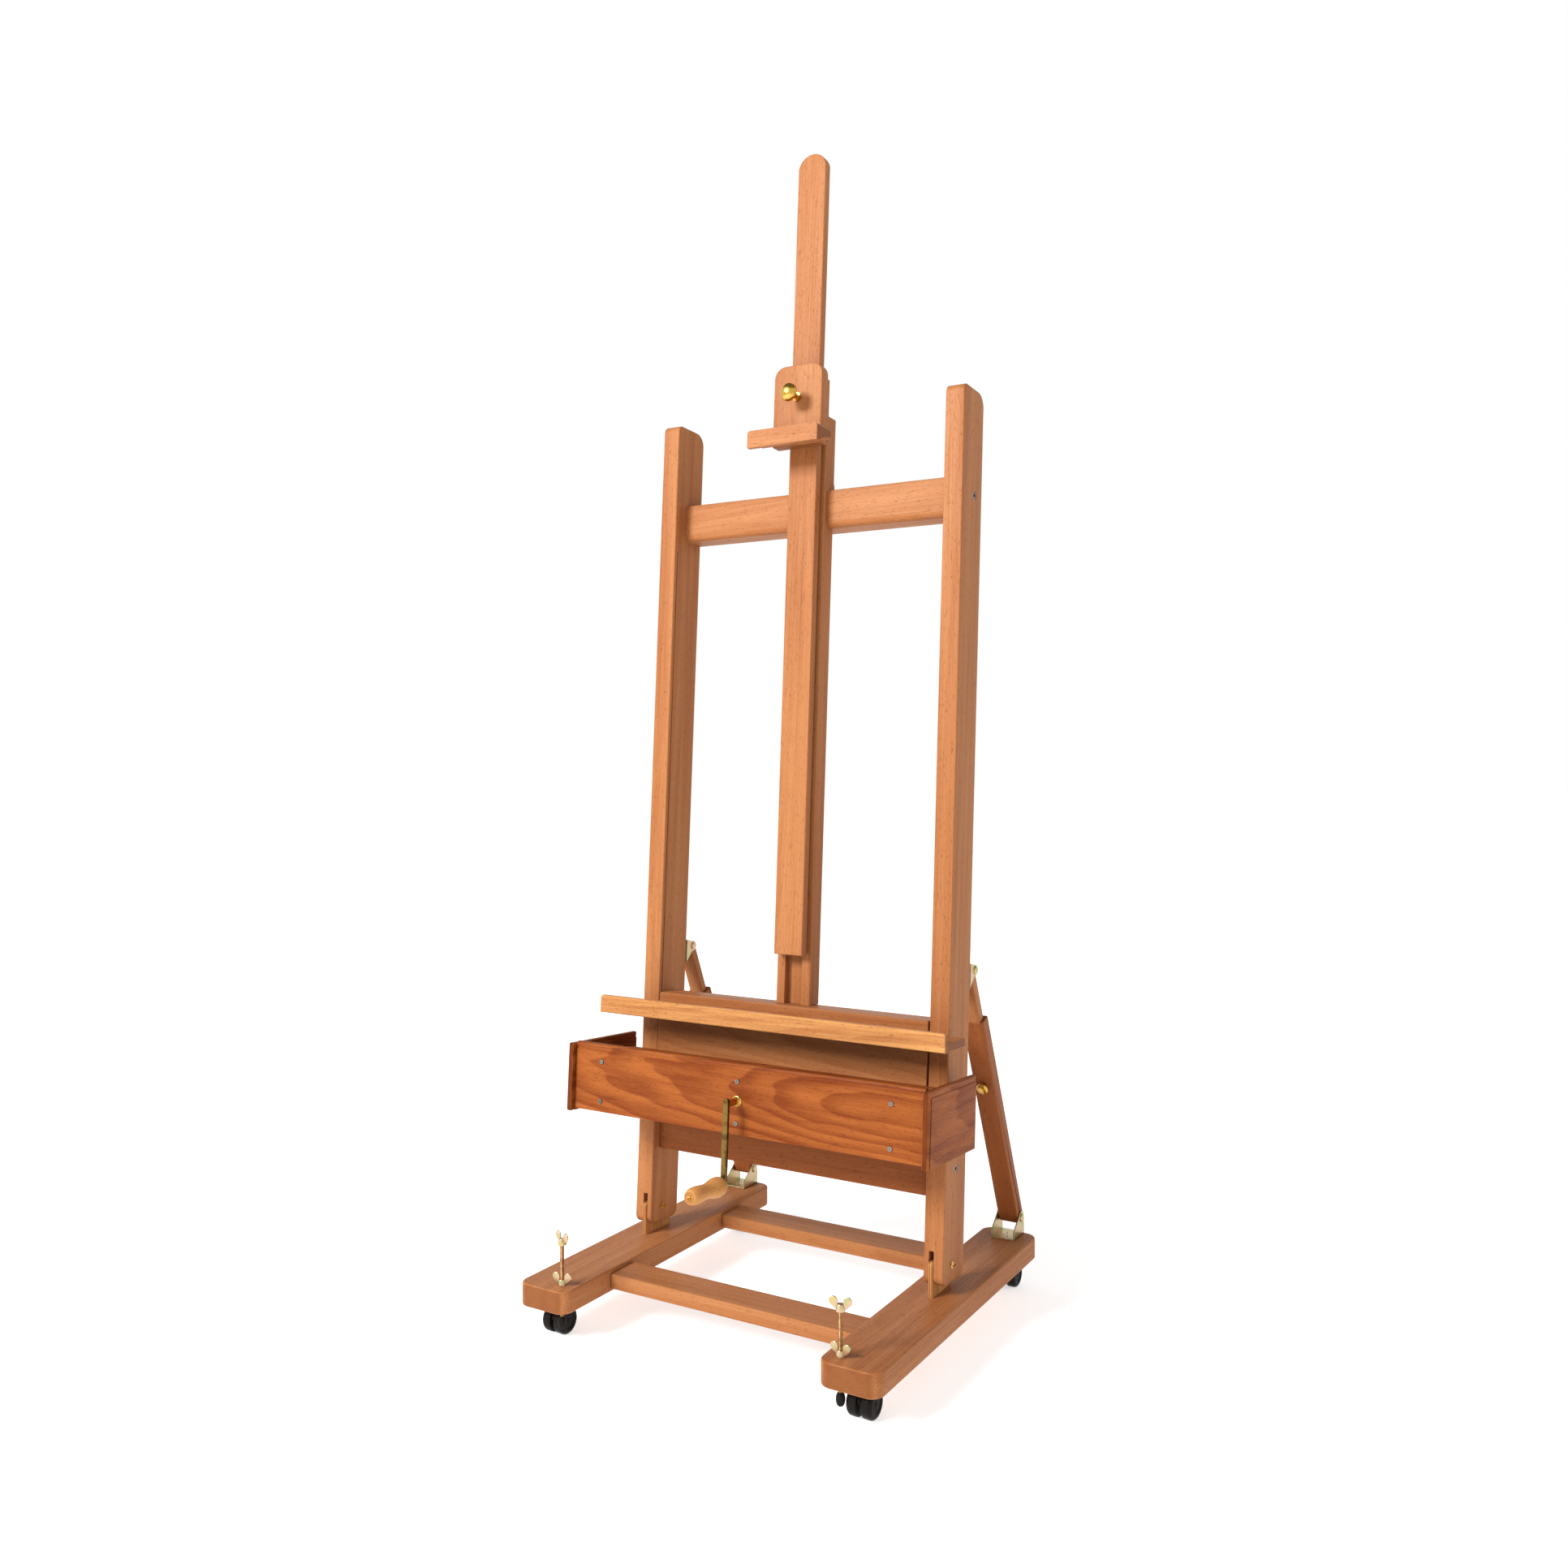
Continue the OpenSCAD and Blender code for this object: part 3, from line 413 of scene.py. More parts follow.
def wood(name, grain, centre, light=BEECH_LIGHT, dark=BEECH_DARK,
         ring=0.0035, slope=1.5, bold=0.5, plies=None):
    """Oiled wood with its growth rings about a pith near the board.

    grain is the direction of the fibres, centre the middle of the board, ring the width of a growth ring and
    slope the angle in degrees between fibres and board, which draws the arches. plies is the direction across
    the veneers of plywood, whose layers show on the edges. bold is how much the rings stand out and wander.
    """
    n = Nodes(name)
    grain = Vector(grain).normalized()
    straight = grain.rotation_difference(Vector((0, 0, 1))).to_matrix()
    tilt = Matrix.Rotation(math.radians(slope), 3, "X")
    tilt = tilt @ Matrix.Rotation(math.radians(slope * draw(-1, 1)), 3, "Y")
    whole = tilt @ straight
    pith = Vector((draw(-0.05, 0.05), draw(0.05, 0.11), draw(-4, 4)))
    mapping = n.add("ShaderNodeMapping")
    mapping.inputs["Rotation"].default_value = whole.to_euler()
    mapping.inputs["Location"].default_value = pith - whole @ Vector(centre)
    n.link(n.coords.outputs["Object"], mapping.inputs["Vector"])
    place = mapping.outputs[0]
    sway = n.vector("SUBTRACT", n.noise(place, (9, 9, 2.2), 3.0, colour=True), (0.5, 0.5, 0.5))
    bent = n.vector("ADD", place, n.vector("MULTIPLY", sway, (0.028 * bold + 0.006,) * 3))
    distance = n.vector("LENGTH", n.vector("MULTIPLY", bent, (1, 1, 0)))
    rings = n.math("FRACT", n.math("DIVIDE", distance, ring))
    band = n.span(rings, 0.15, 0.92)
    edge = n.span(rings, 0.92, 1.0)
    rings = n.math("SUBTRACT", band, edge)
    fibres = n.noise(place, (420, 420, 7), 4.0)
    streaks = n.noise(place, (70, 70, 1.6), 3.0)
    tone = n.noise(place, (14, 14, 1.1), 2.0)
    shade = n.math("MULTIPLY", rings, 0.27 * bold)
    shade = n.math("ADD", shade, n.span(streaks, 0.32, 0.72, 0.0, 0.42))
    shade = n.math("ADD", shade, n.span(tone, 0.3, 0.75, -0.08, 0.36))
    shade = n.math("ADD", shade, n.span(fibres, 0.3, 0.7, -0.10, 0.14))
    colour = n.mix(shade, light, dark)
    flecks = n.noise(place, (820, 820, 130), 1.0)
    flecks = n.span(flecks, 0.62, 0.71)
    colour = n.mix(n.math("MULTIPLY", flecks, 0.48), colour, tuple(c * 0.38 for c in dark))
    facing = n.math("ABSOLUTE", n.vector("DOT_PRODUCT", n.coords.outputs["Normal"], tuple(grain)))
    colour = n.mix(n.span(facing, 0.75, 0.98, 0.0, 0.72), colour, tuple(c * 0.62 for c in dark))
    if plies:
        across = n.vector("DOT_PRODUCT", n.coords.outputs["Object"], tuple(plies))
        layers = n.math("FRACT", n.math("DIVIDE", across, VENEER_PAIR))
        past = n.math("SUBTRACT", 1.0, n.span(layers, 0.92, 1.0))
        layers = n.math("MULTIPLY", n.span(layers, 0.42, 0.5), past)
        flat = n.math("ABSOLUTE", n.vector("DOT_PRODUCT", n.coords.outputs["Normal"], tuple(plies)))
        layers = n.math("MULTIPLY", layers, n.span(flat, 0.35, 0.6, 1.0, 0.0))
        colour = n.mix(n.math("MULTIPLY", layers, 0.62), colour, tuple(c * 0.5 for c in dark))
    n.link(colour, n.shader.inputs["Base Color"])
    rough = n.math("ADD", n.span(fibres, 0.3, 0.7, 0.36, 0.47), n.math("MULTIPLY", flecks, 0.12))
    n.link(rough, n.shader.inputs["Roughness"])
    n.shader.inputs["Coat Weight"].default_value = 0.02
    n.shader.inputs["Coat Roughness"].default_value = 0.32
    n.shader.inputs["Specular IOR Level"].default_value = 0.06
    n.bump(n.math("SUBTRACT", n.math("MULTIPLY", fibres, 0.5), flecks), 0.22, 0.00035)
    return n.material


def metal(name, colours, rough=(0.2, 0.34), cloud=45.0, scratch=0.12, metallic=1.0):
    """Plated metal whose colour drifts softly between the colours given."""
    n = Nodes(name)
    place = n.coords.outputs["Object"]
    drift = n.noise(place, (cloud, cloud, cloud), 3.0)
    colour = n.mix(n.span(drift, 0.34, 0.5), colours[0], colours[1])
    colour = n.mix(n.span(drift, 0.5, 0.64), colour, colours[2])
    wear = n.noise(place, (900, 900, 260), 3.0)
    colour = n.mix(n.span(wear, 0.55, 0.8, 0.0, 0.35), colour, tuple(c * 0.55 for c in colours[0]))
    n.link(colour, n.shader.inputs["Base Color"])
    n.link(n.span(wear, 0.3, 0.7, rough[0], rough[1]), n.shader.inputs["Roughness"])
    n.shader.inputs["Metallic"].default_value = metallic
    n.bump(wear, scratch, 0.0001)
    return n.material


def plastic(name, base, rough):
    """Moulded plastic with a fine matt grain and dusty patches."""
    n = Nodes(name)
    place = n.coords.outputs["Object"]
    dust = n.noise(place, (60, 60, 60), 4.0)
    colour = n.mix(n.span(dust, 0.4, 0.75, 0.0, 0.6), base, tuple(c * 1.7 + 0.001 for c in base))
    n.link(colour, n.shader.inputs["Base Color"])
    grain = n.noise(place, (1900, 1900, 1900), 2.0)
    n.link(n.span(dust, 0.3, 0.7, rough - 0.07, rough + 0.1), n.shader.inputs["Roughness"])
    n.shader.inputs["Specular IOR Level"].default_value = 0.1
    n.bump(grain, 0.2, 0.00012)
    return n.material


LEAN_UP = (LEAN.to_3x3() @ Vector((0, 0, 1))).normalized()
LEAN_BACK = (LEAN.to_3x3() @ Vector((0, 1, 0))).normalized()
ACROSS = Vector((1, 0, 0))
FORWARD = Vector((0, 1, 0))
ZINC = metal("yellow_zinc", ((0.55, 0.44, 0.20), (0.60, 0.42, 0.27), (0.44, 0.43, 0.20)),
             (0.26, 0.42), 70.0)
ARM_ZINC = metal("arm_zinc", ((0.125, 0.068, 0.015), (0.19, 0.12, 0.032), (0.095, 0.058, 0.015)),
                 (0.24, 0.4), 60.0)
BRASS = metal("brass", ((0.58, 0.34, 0.065), (0.66, 0.40, 0.095), (0.48, 0.27, 0.05)),
              (0.16, 0.3), 30.0)
BRONZE = metal("bronzed_rod", ((0.34, 0.17, 0.07), (0.40, 0.21, 0.09), (0.26, 0.13, 0.06)),
               (0.34, 0.5), 90.0)
SCREW_STEEL = metal("screw_steel", ((0.17, 0.155, 0.13), (0.21, 0.19, 0.16), (0.13, 0.12, 0.10)),
                    (0.3, 0.5), 60.0)
STEEL = metal("steel", ((0.52, 0.52, 0.54), (0.58, 0.58, 0.60), (0.46, 0.46, 0.48)),
              (0.25, 0.45), 40.0)
BLACK = plastic("black_plastic", (0.0066, 0.0054, 0.0044), 0.52)
WHEEL_BLACK = plastic("black_wheel", (0.0060, 0.0048, 0.0038), 0.45)


def timber(name, grain, **options):
    """A wood for one board: its rings are centred near the CAD node of the same name."""
    low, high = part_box(options.pop("node", name))
    return wood("wood_" + name, grain, (low + high) / 2, **options)


# ---- Base ----


def feet():
    leveler_hole = 3.3
    for side in SIDES:
        low, high = extent(f"foot_{side}")
        outline = rounded(low[:2], high[:2], 19, 10)
        board = slab(outline, low.z, high.z, "xy", 3.0, 4)
        centre = at(f"leveler_turn_{side}")
        hole = rod(leveler_hole, low.z - 1, high.z + 1)
        board = carve(board, [moved(hole, shift(centre.x, centre.y, 0))])
        name = f"foot_{side}"
        material = timber(name, FORWARD, slope=0.8, bold=0.75)
        piece(name + "_board", board, ROW, "base", material, [name])


def rails():
    width = 58
    low, high = extent("base_rails")
    foot = extent("foot_right")[0].x
    for name, y in (("front", low.y), ("rear", high.y - width)):
        bar = block((-foot, y, low.z), (foot, y + width, high.z), 2.5)
        material = timber(f"rail_{name}", ACROSS, node="base_rails", slope=1.2)
        piece(f"rail_{name}", bar, ROW, "base", material, ["base_rails"])


def tongues():
    low, high = extent("pivot_tongues")
    thickness = 6.4
    boards = []
    for side in SIDES.values():
        centre = side * (high.x - thickness / 2)
        outline = rounded((low.y, low.z), (high.y, high.z), [0, 0, 8, 8])
        boards.append(slab(outline, centre - thickness / 2, centre + thickness / 2, "yz", 0.7))
    material = timber("pivot_tongues", (0, 0, 1), plies=tuple(ACROSS), light=GRIP_LIGHT)
    piece("pivot_tongue_boards", joined(*boards), ROW, "base", material, ["pivot_tongues"])


def cross_recess(reach, top, depth, width=1.1):
    """Cutter for the cross in a screw's head."""
    return [block((-reach, -width / 2, top - depth), (reach, width / 2, top + 2), 0.1),
            block((-width / 2, -reach, top - depth), (width / 2, reach, top + 2), 0.1)]


def pivot_bolt_heads():
    flange, rim, shank, stand_off = 9.0, 0.5, 5, 0.3
    pivot = at("frame_tilt")
    upright = extent("upright_right", LEAN)
    inner, face = upright[0].x, upright[1].x
    heads = []
    for side in SIDES.values():
        for x, facing in ((face, 1), (inner, -1)):
            head = lathe([(0, 0), (flange, 0.0), (flange, rim)] + dome(8.8, 3.9, base=rim), 36)
            head = carve(head, cross_recess(3.4, 4.4, 1.8))
            out = shift(side * (x + facing * stand_off), pivot.y, pivot.z)
            heads.append(moved(head, out @ turn(90 * side * facing, "Y")))
        across = shift(0, pivot.y, pivot.z) @ turn(90 * side, "Y")
        heads.append(moved(rod(shank, inner - 1, face + 1), across))
    piece("pivot_bolt_heads", joined(*heads), ROW, "base", BRASS, ["pivot_bolts"])


def foot_bracket_pieces():
    sheet, ear_radius, screw_rows = 2.0, 10, (243, 255)
    top = extent("foot_right")[1].z
    low, high = extent("foot_brackets")
    front, back = low.y, high.y
    for side in SIDES:
        pin = at(f"strut_lower_{side}_swing")
        outer = high.x - abs(pin.x)
        ear = [(front, top), (back, top), (back, top + 10)]
        ear += arc((pin.y, pin.z), ear_radius, 0, 150, 10) + [(front, top + 12)]
        sole = rounded((pin.x - outer, front), (pin.x + outer, back), 1.5, 3)
        parts = [slab(sole, top, top + sheet, "xy", 0.5)]
        for x in (pin.x - outer, pin.x + outer - sheet):
            parts.append(slab(ear, x, x + sheet, "yz", 0.5))
        name = f"foot_bracket_{side}"
        piece(name, joined(*parts), ROW, "base", ZINC, ["foot_brackets"])
        fixings = []
        for facing in (1, -1):
            out = shift(pin.x + facing * outer, pin.y, pin.z) @ turn(90 * facing, "Y")
            fixings.append(moved(button(6.6, 0.8, 6.2, 2.2), out))
        fixings.append(moved(rod(4, -outer, outer), shift(pin.x, pin.y, pin.z) @ turn(90, "Y")))
        for y in screw_rows:
            head = lathe([(0, 0), (3.8, 0)] + dome(3.7, 1.9, base=0.1), 24)
            head = carve(head, cross_recess(1.8, 2.0, 1.1, 0.8))
            fixings.append(moved(head, shift(pin.x, y, top + sheet)))
        piece(name + "_bolts", joined(*fixings), ROW, "base", ZINC, ["foot_bracket_hardware"])


def wing_nut(height):
    """Wing nut standing on the given height, its wings along x."""
    bore = 3.1
    barrel = [(bore, 0), (6.1, 0), (6.3, 0.6), (5.9, 3.4), (5.0, 7.0), (4.6, 8.6), (4.1, 9), (bore, 9)]
    parts = [lathe([(r, height + h) for r, h in barrel], 32)]
    for side in (1, -1):
        wing = arc((9.6, height + 12.2), 5.9, -62, 168, 16)
        wing += [(3.4, height + 8.6), (3.2, height + 1.4), (5.2, height + 1.0), (8.6, height + 3.6)]
        if side < 0:
            wing = [(-x, z) for x, z in reversed(wing)]
        parts.append(slab(wing, -1.15, 1.15, "xz", 0.9, 3))
    return joined(*parts)


def levelers():
    nut_below_end, pitch = 18, 1.0
    pad_radius, pad_fullness = 6.15, 0.72
    turned = {"left": (-18, 8), "right": (12, -6)}
    for side in SIDES:
        place = at(f"leveler_turn_{side}")
        here = shift(place.x, place.y, 0)
        wing_turn, lock_turn = turned[side]
        name = f"leveler_screw_{side}"
        low, high = extent(name)
        top = high.z - nut_below_end
        screw = threaded(3.0, low.z, top + 8, pitch, 0.32)
        piece(name + "_rod", moved(screw, here), ROW, name, BRONZE, [name])
        wing = moved(wing_nut(top), here @ turn(wing_turn, "Z"))
        piece(name + "_wing", wing, ROW, name, ZINC, [name])
        foot_top = extent(f"foot_{side}")[1].z
        lock = moved(wing_nut(foot_top), here @ turn(lock_turn, "Z"))
        piece(f"leveler_lock_nut_{side}", lock, ROW, "base", ZINC, ["leveler_lock_nuts"])
        name = f"leveler_pad_{side}"
        low, high = extent(name)
        middle, half = (low.z + high.z) / 2, (high.z - low.z) / 2
        egg = []
        for i in range(17):
            t = math.radians(-90 + 180 * i / 16)
            wide = math.cos(t) ** pad_fullness if abs(math.cos(t)) > 1e-6 else 0
            egg.append((pad_radius * wide, middle + half * math.sin(t)))
        piece(name + "_cap", moved(lathe(egg, 32), here), ROW, name, BLACK, [name])


def castor(corner):
    hood_half, hood_gap, hood_thick = 13.0, 0.8, 1.3
    swivel = at(f"castor_swivel_{corner}")
    axle = at(f"castor_roll_{corner}")
    foot_bottom = extent("foot_right")[0].z
    radius = axle.z
    here = shift(axle.x, axle.y, axle.z)
    to_swivel = shift(0, swivel.y - axle.y, -radius)
    shell = arc((0, 0), radius + hood_gap + hood_thick, 38, 142, 16)
    shell += list(reversed(arc((0, 0), radius + hood_gap, 38, 142, 16)))
    hood = slab(shell, -hood_half, hood_half, "yz", 0.5)
    web = slab(arc((0, 0), radius - 2.5, 15, 165, 14) + [(-9, -3), (9, -3)], -1.8, 1.8, "yz", 0.6)
    collar = lathe([(0, 39.6), (11, 39.6), (11, foot_bottom - 1.3), (10.4, foot_bottom - 0.6),
                    (0, foot_bottom - 0.6)])
    stem = rod(4, foot_bottom - 1, foot_bottom + 12)
    whole = joined(hood, web, moved(collar, to_swivel), moved(stem, to_swivel))
    piece(f"castor_hood_{corner}", moved(whole, here), ROW, f"castor_{corner}", BLACK,
          [f"castor_housing_{corner}"])
    low, high = extent(f"castor_wheels_{corner}")
    half = (high.x - low.x) / 2
    inner, tread = 3.0, 5.6
    hub = [(0, 1.2), (2.6, 0.9), (3.4, 2.0), (10.5, 2.6), (12.0, 1.4), (13.6, 1.0)]
    profile = [(r, half - depth) for r, depth in hub]
    profile += arc((radius - tread, half - tread - 1), tread, 80, 0, 8)
    profile += [(radius, inner + 2.0), (radius - 0.9, inner + 0.5), (radius - 2, inner), (0, inner)]
    parts = [moved(lathe(profile, 56), here @ turn(90 * side, "Y")) for side in (1, -1)]
    parts.append(moved(rod(2.4, -half + 2, half - 2, 20), here @ turn(90, "Y")))
    piece(f"castor_wheel_pair_{corner}", joined(*parts), ROW, f"wheels_{corner}", WHEEL_BLACK,
          [f"castor_wheels_{corner}"])


# ---- Leaning frame ----


def uprights():
    groove_depth, groove_front, groove_back, groove_low, groove_high = 15, 7, 12, 140, 1048
    slot_low, slot_high, slot_top = 242.8, 250.4, 23
    screw_head, screw_depth = 6.35, 3
    for side, sign in SIDES.items():
        name = f"upright_{side}"
        low, high = extent(name, LEAN)
        inner, outer = (low.x, high.x) if sign > 0 else (-high.x, -low.x)
        outline = rounded((low.y, low.z), (high.y, high.z), [13, 13, 20, 10], 10)
        board = slab(outline, inner, outer, "yz", 2.2, 4)
        groove = block((inner - 1, groove_front, groove_low),
                       (inner + groove_depth, groove_back, groove_high), 0.1)
        slot = block((slot_low, -3, low.z - 3), (slot_high, high.y + 3, slot_top), 0.1)
        cutters = [groove, slot]
        for depth, height in ((45, 1100), (37, 132.6)):
            into = shift(outer - screw_depth, depth, height) @ turn(90, "Y")
            cutters.append(moved(rod(screw_head, 0, 2 * screw_depth, 36), into))
        board = carve(board, cutters)
        if sign < 0:
            board = moved(board, MIRROR)
        piece(name + "_board", board, LEAN, "mast_frame", timber(name, LEAN_UP, slope=0.7), [name])


def cross_pieces():
    mast_half, mast_back = 33.5, 50
    low, high = extent("crossbar_top", LEAN)
    outline = rounded((low.y, low.z), (high.y, high.z), [9, 2, 2, 2], 6)
    bar = slab(outline, low.x, high.x, "yz", 0.3)
    bar = carve(bar, [block((-mast_half, low.y - 2, low.z - 2), (mast_half, mast_back, high.z + 2), 0.1)])
    material = timber("crossbar_top", ACROSS)
    piece("crossbar_top_board", bar, LEAN, "mast_frame", material, ["crossbar_top"])
    low, high = extent("crossboard_lower", LEAN)
    board = block(low, high, 2.0)
    material = timber("crossboard_lower", ACROSS, slope=1.0, light=SHADED_LIGHT, dark=SHADED_DARK)
    piece("crossboard_lower_board", board, LEAN, "mast_frame", material, ["crossboard_lower"])


def strut_pieces():
    recess_half, recess_depth, recess_low = 12.8, 9, 99
    slot_half, slot_low, slot_below_top = 3.2, 111, 22
    # (radius, height) from the tail of a knob to the top of its head
    knob = [(0, 0), (3, 0), (3, 24.0), (5.6, 24.6), (5.6, 26.6), (3.2, 27.4), (3.2, 29.2), (6.4, 30.0),
            (8.6, 31.2), (9.0, 32.4)] + dome(8.9, 2.9, base=32.6)
    knob_length = 35.5
    for side in SIDES:
        place = STRUT[side]
        along = (place.to_3x3() @ Vector((0, 0, 1))).normalized()
        name = f"strut_lower_{side}"
        low, high = extent(name, place)
        outline = rounded((low.y, low.z), (high.y, high.z), [11.3, 11.3, 2.2, 2.2], 8)
        case = slab(outline, low.x, high.x, "yz", 2.0)
        recess = block((-recess_half, low.y - 3, recess_low), (recess_half, recess_depth, high.z + 3), 0.4)
        slot = block((-slot_half, 5, slot_low), (slot_half, high.y + 3, high.z - slot_below_top), 2.8)
        case = carve(case, [recess, slot])
        material = timber(name, along, light=SHADED_LIGHT, dark=SHADED_DARK)
        piece(name + "_case", case, place, name, material, [name])
        name = f"strut_upper_{side}"
        low, high = extent(name, place)
        half = (high.y - low.y) / 2
        outline = rounded((low.y, low.z), (high.y, high.z), [1.5, 1.5, half - 0.1, half - 0.1], 8)
        bar = slab(outline, low.x, high.x, "yz", 2.0)
        piece(name + "_bar", bar, place, name, timber(name, along), [name])
        name = f"strut_knob_{side}"
        low, high = extent(name, place)
        profile = [(r, h * (high.y - low.y) / knob_length) for r, h in knob]
        stand = shift(0, high.y, (low.z + high.z) / 2) @ turn(90, "X")
        nut = moved(lathe([(3.1, 1.2), (6.5, 1.2), (6.5, 4.4), (3.1, 4.4)], 28), stand)
        whole = joined(moved(lathe(profile, 36), stand), nut)
        piece(name + "_turned", whole, place, name, BRASS, [name])


def strut_top_bracket_pieces():
    flange, sheet, ear_radius, overhang = 2, 1.6, 8, 0.4
    low, high = extent("strut_top_brackets", LEAN)
    bolt = at("strut_upper_right_swing", LEAN)
    upright = extent("upright_right", LEAN)
    inner, back = upright[0].x - overhang, upright[1].y
    for side, sign in SIDES.items():
        parts = [slab(rounded((inner, low.z), (high.x, high.z), 1.2, 3), back, back + flange, "xz", 0.4)]
        ear = [(back, low.z), (bolt.y - 2, bolt.z - ear_radius)]
        ear += arc((bolt.y, bolt.z), ear_radius, -80, 80, 10)
        ear += [(bolt.y - 2, bolt.z + ear_radius), (back, high.z)]
        for x in (inner, high.x - sheet):
            parts.append(slab(ear, x, x + sheet, "yz", 0.4))
        for facing, x in ((1, high.x), (-1, inner)):
            out = shift(x, bolt.y, bolt.z) @ turn(90 * facing, "Y")
            parts.append(moved(button(6.4, 0.8, 6, 2.1), out))
        parts.append(moved(rod(4, inner - 1, high.x + 1), shift(0, bolt.y, bolt.z) @ turn(90, "Y")))
        whole = joined(*parts)
        if sign < 0:
            whole = moved(whole, MIRROR)
        piece(f"strut_top_bracket_{side}", whole, LEAN, "mast_frame", ZINC,
              ["strut_top_brackets", "strut_bolts"])


# ---- Carriage ----


def carriage_boards():
    chamfer = 3
    low, high = extent("canvas_lip", LEAN)
    outline = [(low.x, low.z), (high.x, low.z), (high.x, high.z - chamfer), (high.x - chamfer, high.z),
               (low.x + chamfer, high.z), (low.x, high.z - chamfer)]
    lip = slab(outline, low.y, high.y, "xz", 2.2, 4)
    material = timber("canvas_lip", ACROSS, light=GRIP_LIGHT)
    piece("canvas_lip_board", lip, LEAN, "carriage", material, ["canvas_lip"])
    low, high = extent("canvas_shelf", LEAN)
    material = timber("canvas_shelf", ACROSS, plies=tuple(LEAN_UP))
    shelf = block(low, high, 0.8)
    piece("canvas_shelf_board", shelf, LEAN, "carriage", material, ["canvas_shelf"])
    low, high = extent("back_bar", LEAN)
    between = high.x
    outline = rounded((low.x, low.z), (high.x, high.z), [0.5, 0.5, 3.5, 3.5], 4)
    bar = slab(outline, low.y, high.y, "xz", 2.0)
    piece("back_bar_board", bar, LEAN, "carriage", timber("back_bar", ACROSS), ["back_bar"])
    low, high = extent("carriage_panel", LEAN)
    low.x, high.x = -between, between
    panel = block(low, high, 1.0)
    material = timber("carriage_panel", ACROSS, bold=0.9, ring=0.007, slope=3.0)
    piece("carriage_panel_board", panel, LEAN, "carriage", material, ["carriage_panel"])
    low, high = extent("stop_plate", LEAN)
    outline = rounded((low.x, low.z), (high.x, high.z), [14, 14, 1, 1], 6)
    plate = slab(outline, low.y, high.y, "xz", 2.0)
    piece("stop_plate_board", plate, LEAN, "carriage", timber("stop_plate", ACROSS), ["stop_plate"])


def tray():
    flame = dict(light=PLY_LIGHT, dark=PLY_DARK, bold=2.0, ring=0.010, slope=3.4)
    ribs_x, screws_z = (-241.7, 0, 241.7), (187.6, 246.5)
    line_low, line_high, line_depth = 10.5, 4.8, 0.7
    low, high = extent("tray_front", LEAN)
    section = rounded((low.y, low.z), (high.y, high.z), [0.6, 0.6, 2.5, 4.6], 5)
    front = slab(section, low.x, high.x, "yz", 0.4)
    cutters = [block((low.x - 2, low.y - 2, high.z - line_low),
                     (high.x + 2, low.y + line_depth, high.z - line_high), 0.15)]
    for x in ribs_x:
        for height in screws_z:
            cutters.append(moved(rod(3.9, 0, 3), shift(x, low.y + 0.6, height) @ turn(90, "X")))
    front = carve(front, cutters)
    material = timber("tray_front", ACROSS, plies=tuple(LEAN_BACK), **flame)
    piece("tray_front_board", front, LEAN, "carriage", material, ["tray_front"])
    tray_half = high.x
    low, high = extent("tray_sides", LEAN)
    rebate, nose, depth = 9.5, 4.2, 0.9
    inner, outer = tray_half, high.x
    for side, sign in SIDES.items():
        core = rounded((low.y + 0.4, low.z), (high.y, high.z - 0.4), [1.5, 1, 1, 3], 4)
        field = rounded((low.y + rebate, low.z), (high.y, high.z - rebate), [0.5, 1, 1, 1.5], 4)
        panel = joined(
            slab(core, inner + depth, outer - depth, "yz", 1.0),
            slab(field, inner, outer, "yz", 0.5),
            block((inner, low.y, low.z), (outer, low.y + nose, high.z), 1.9),
            block((inner, low.y, high.z - nose), (outer, high.y, high.z), 1.9),
        )
        if sign < 0:
            panel = moved(panel, MIRROR)
        material = timber(f"tray_side_{side}", FORWARD, node="tray_sides", plies=tuple(ACROSS), **flame)
        piece(f"tray_side_{side}", panel, LEAN, "carriage", material, ["tray_sides"])
    for name, slot in (("tray_bottom", "beech"), ("tray_back", "tray_wood")):
        low, high = extent(name, LEAN)
        material = timber(name, ACROSS, light=PLY_LIGHT, dark=PLY_DARK, bold=0.9, ring=0.008, slope=2.6)
        piece(name + "_board", block(low, high, 0.8), LEAN, "carriage", material, [name])
    low, high = extent("tray_ribs", LEAN)
    rib_half = 12
    ribs = [block((x - rib_half, low.y, low.z), (x + rib_half, high.y, high.z), 1.0) for x in ribs_x]
    material = timber("tray_ribs", LEAN_BACK)
    piece("tray_rib_blocks", joined(*ribs), LEAN, "carriage", material, ["tray_ribs"])


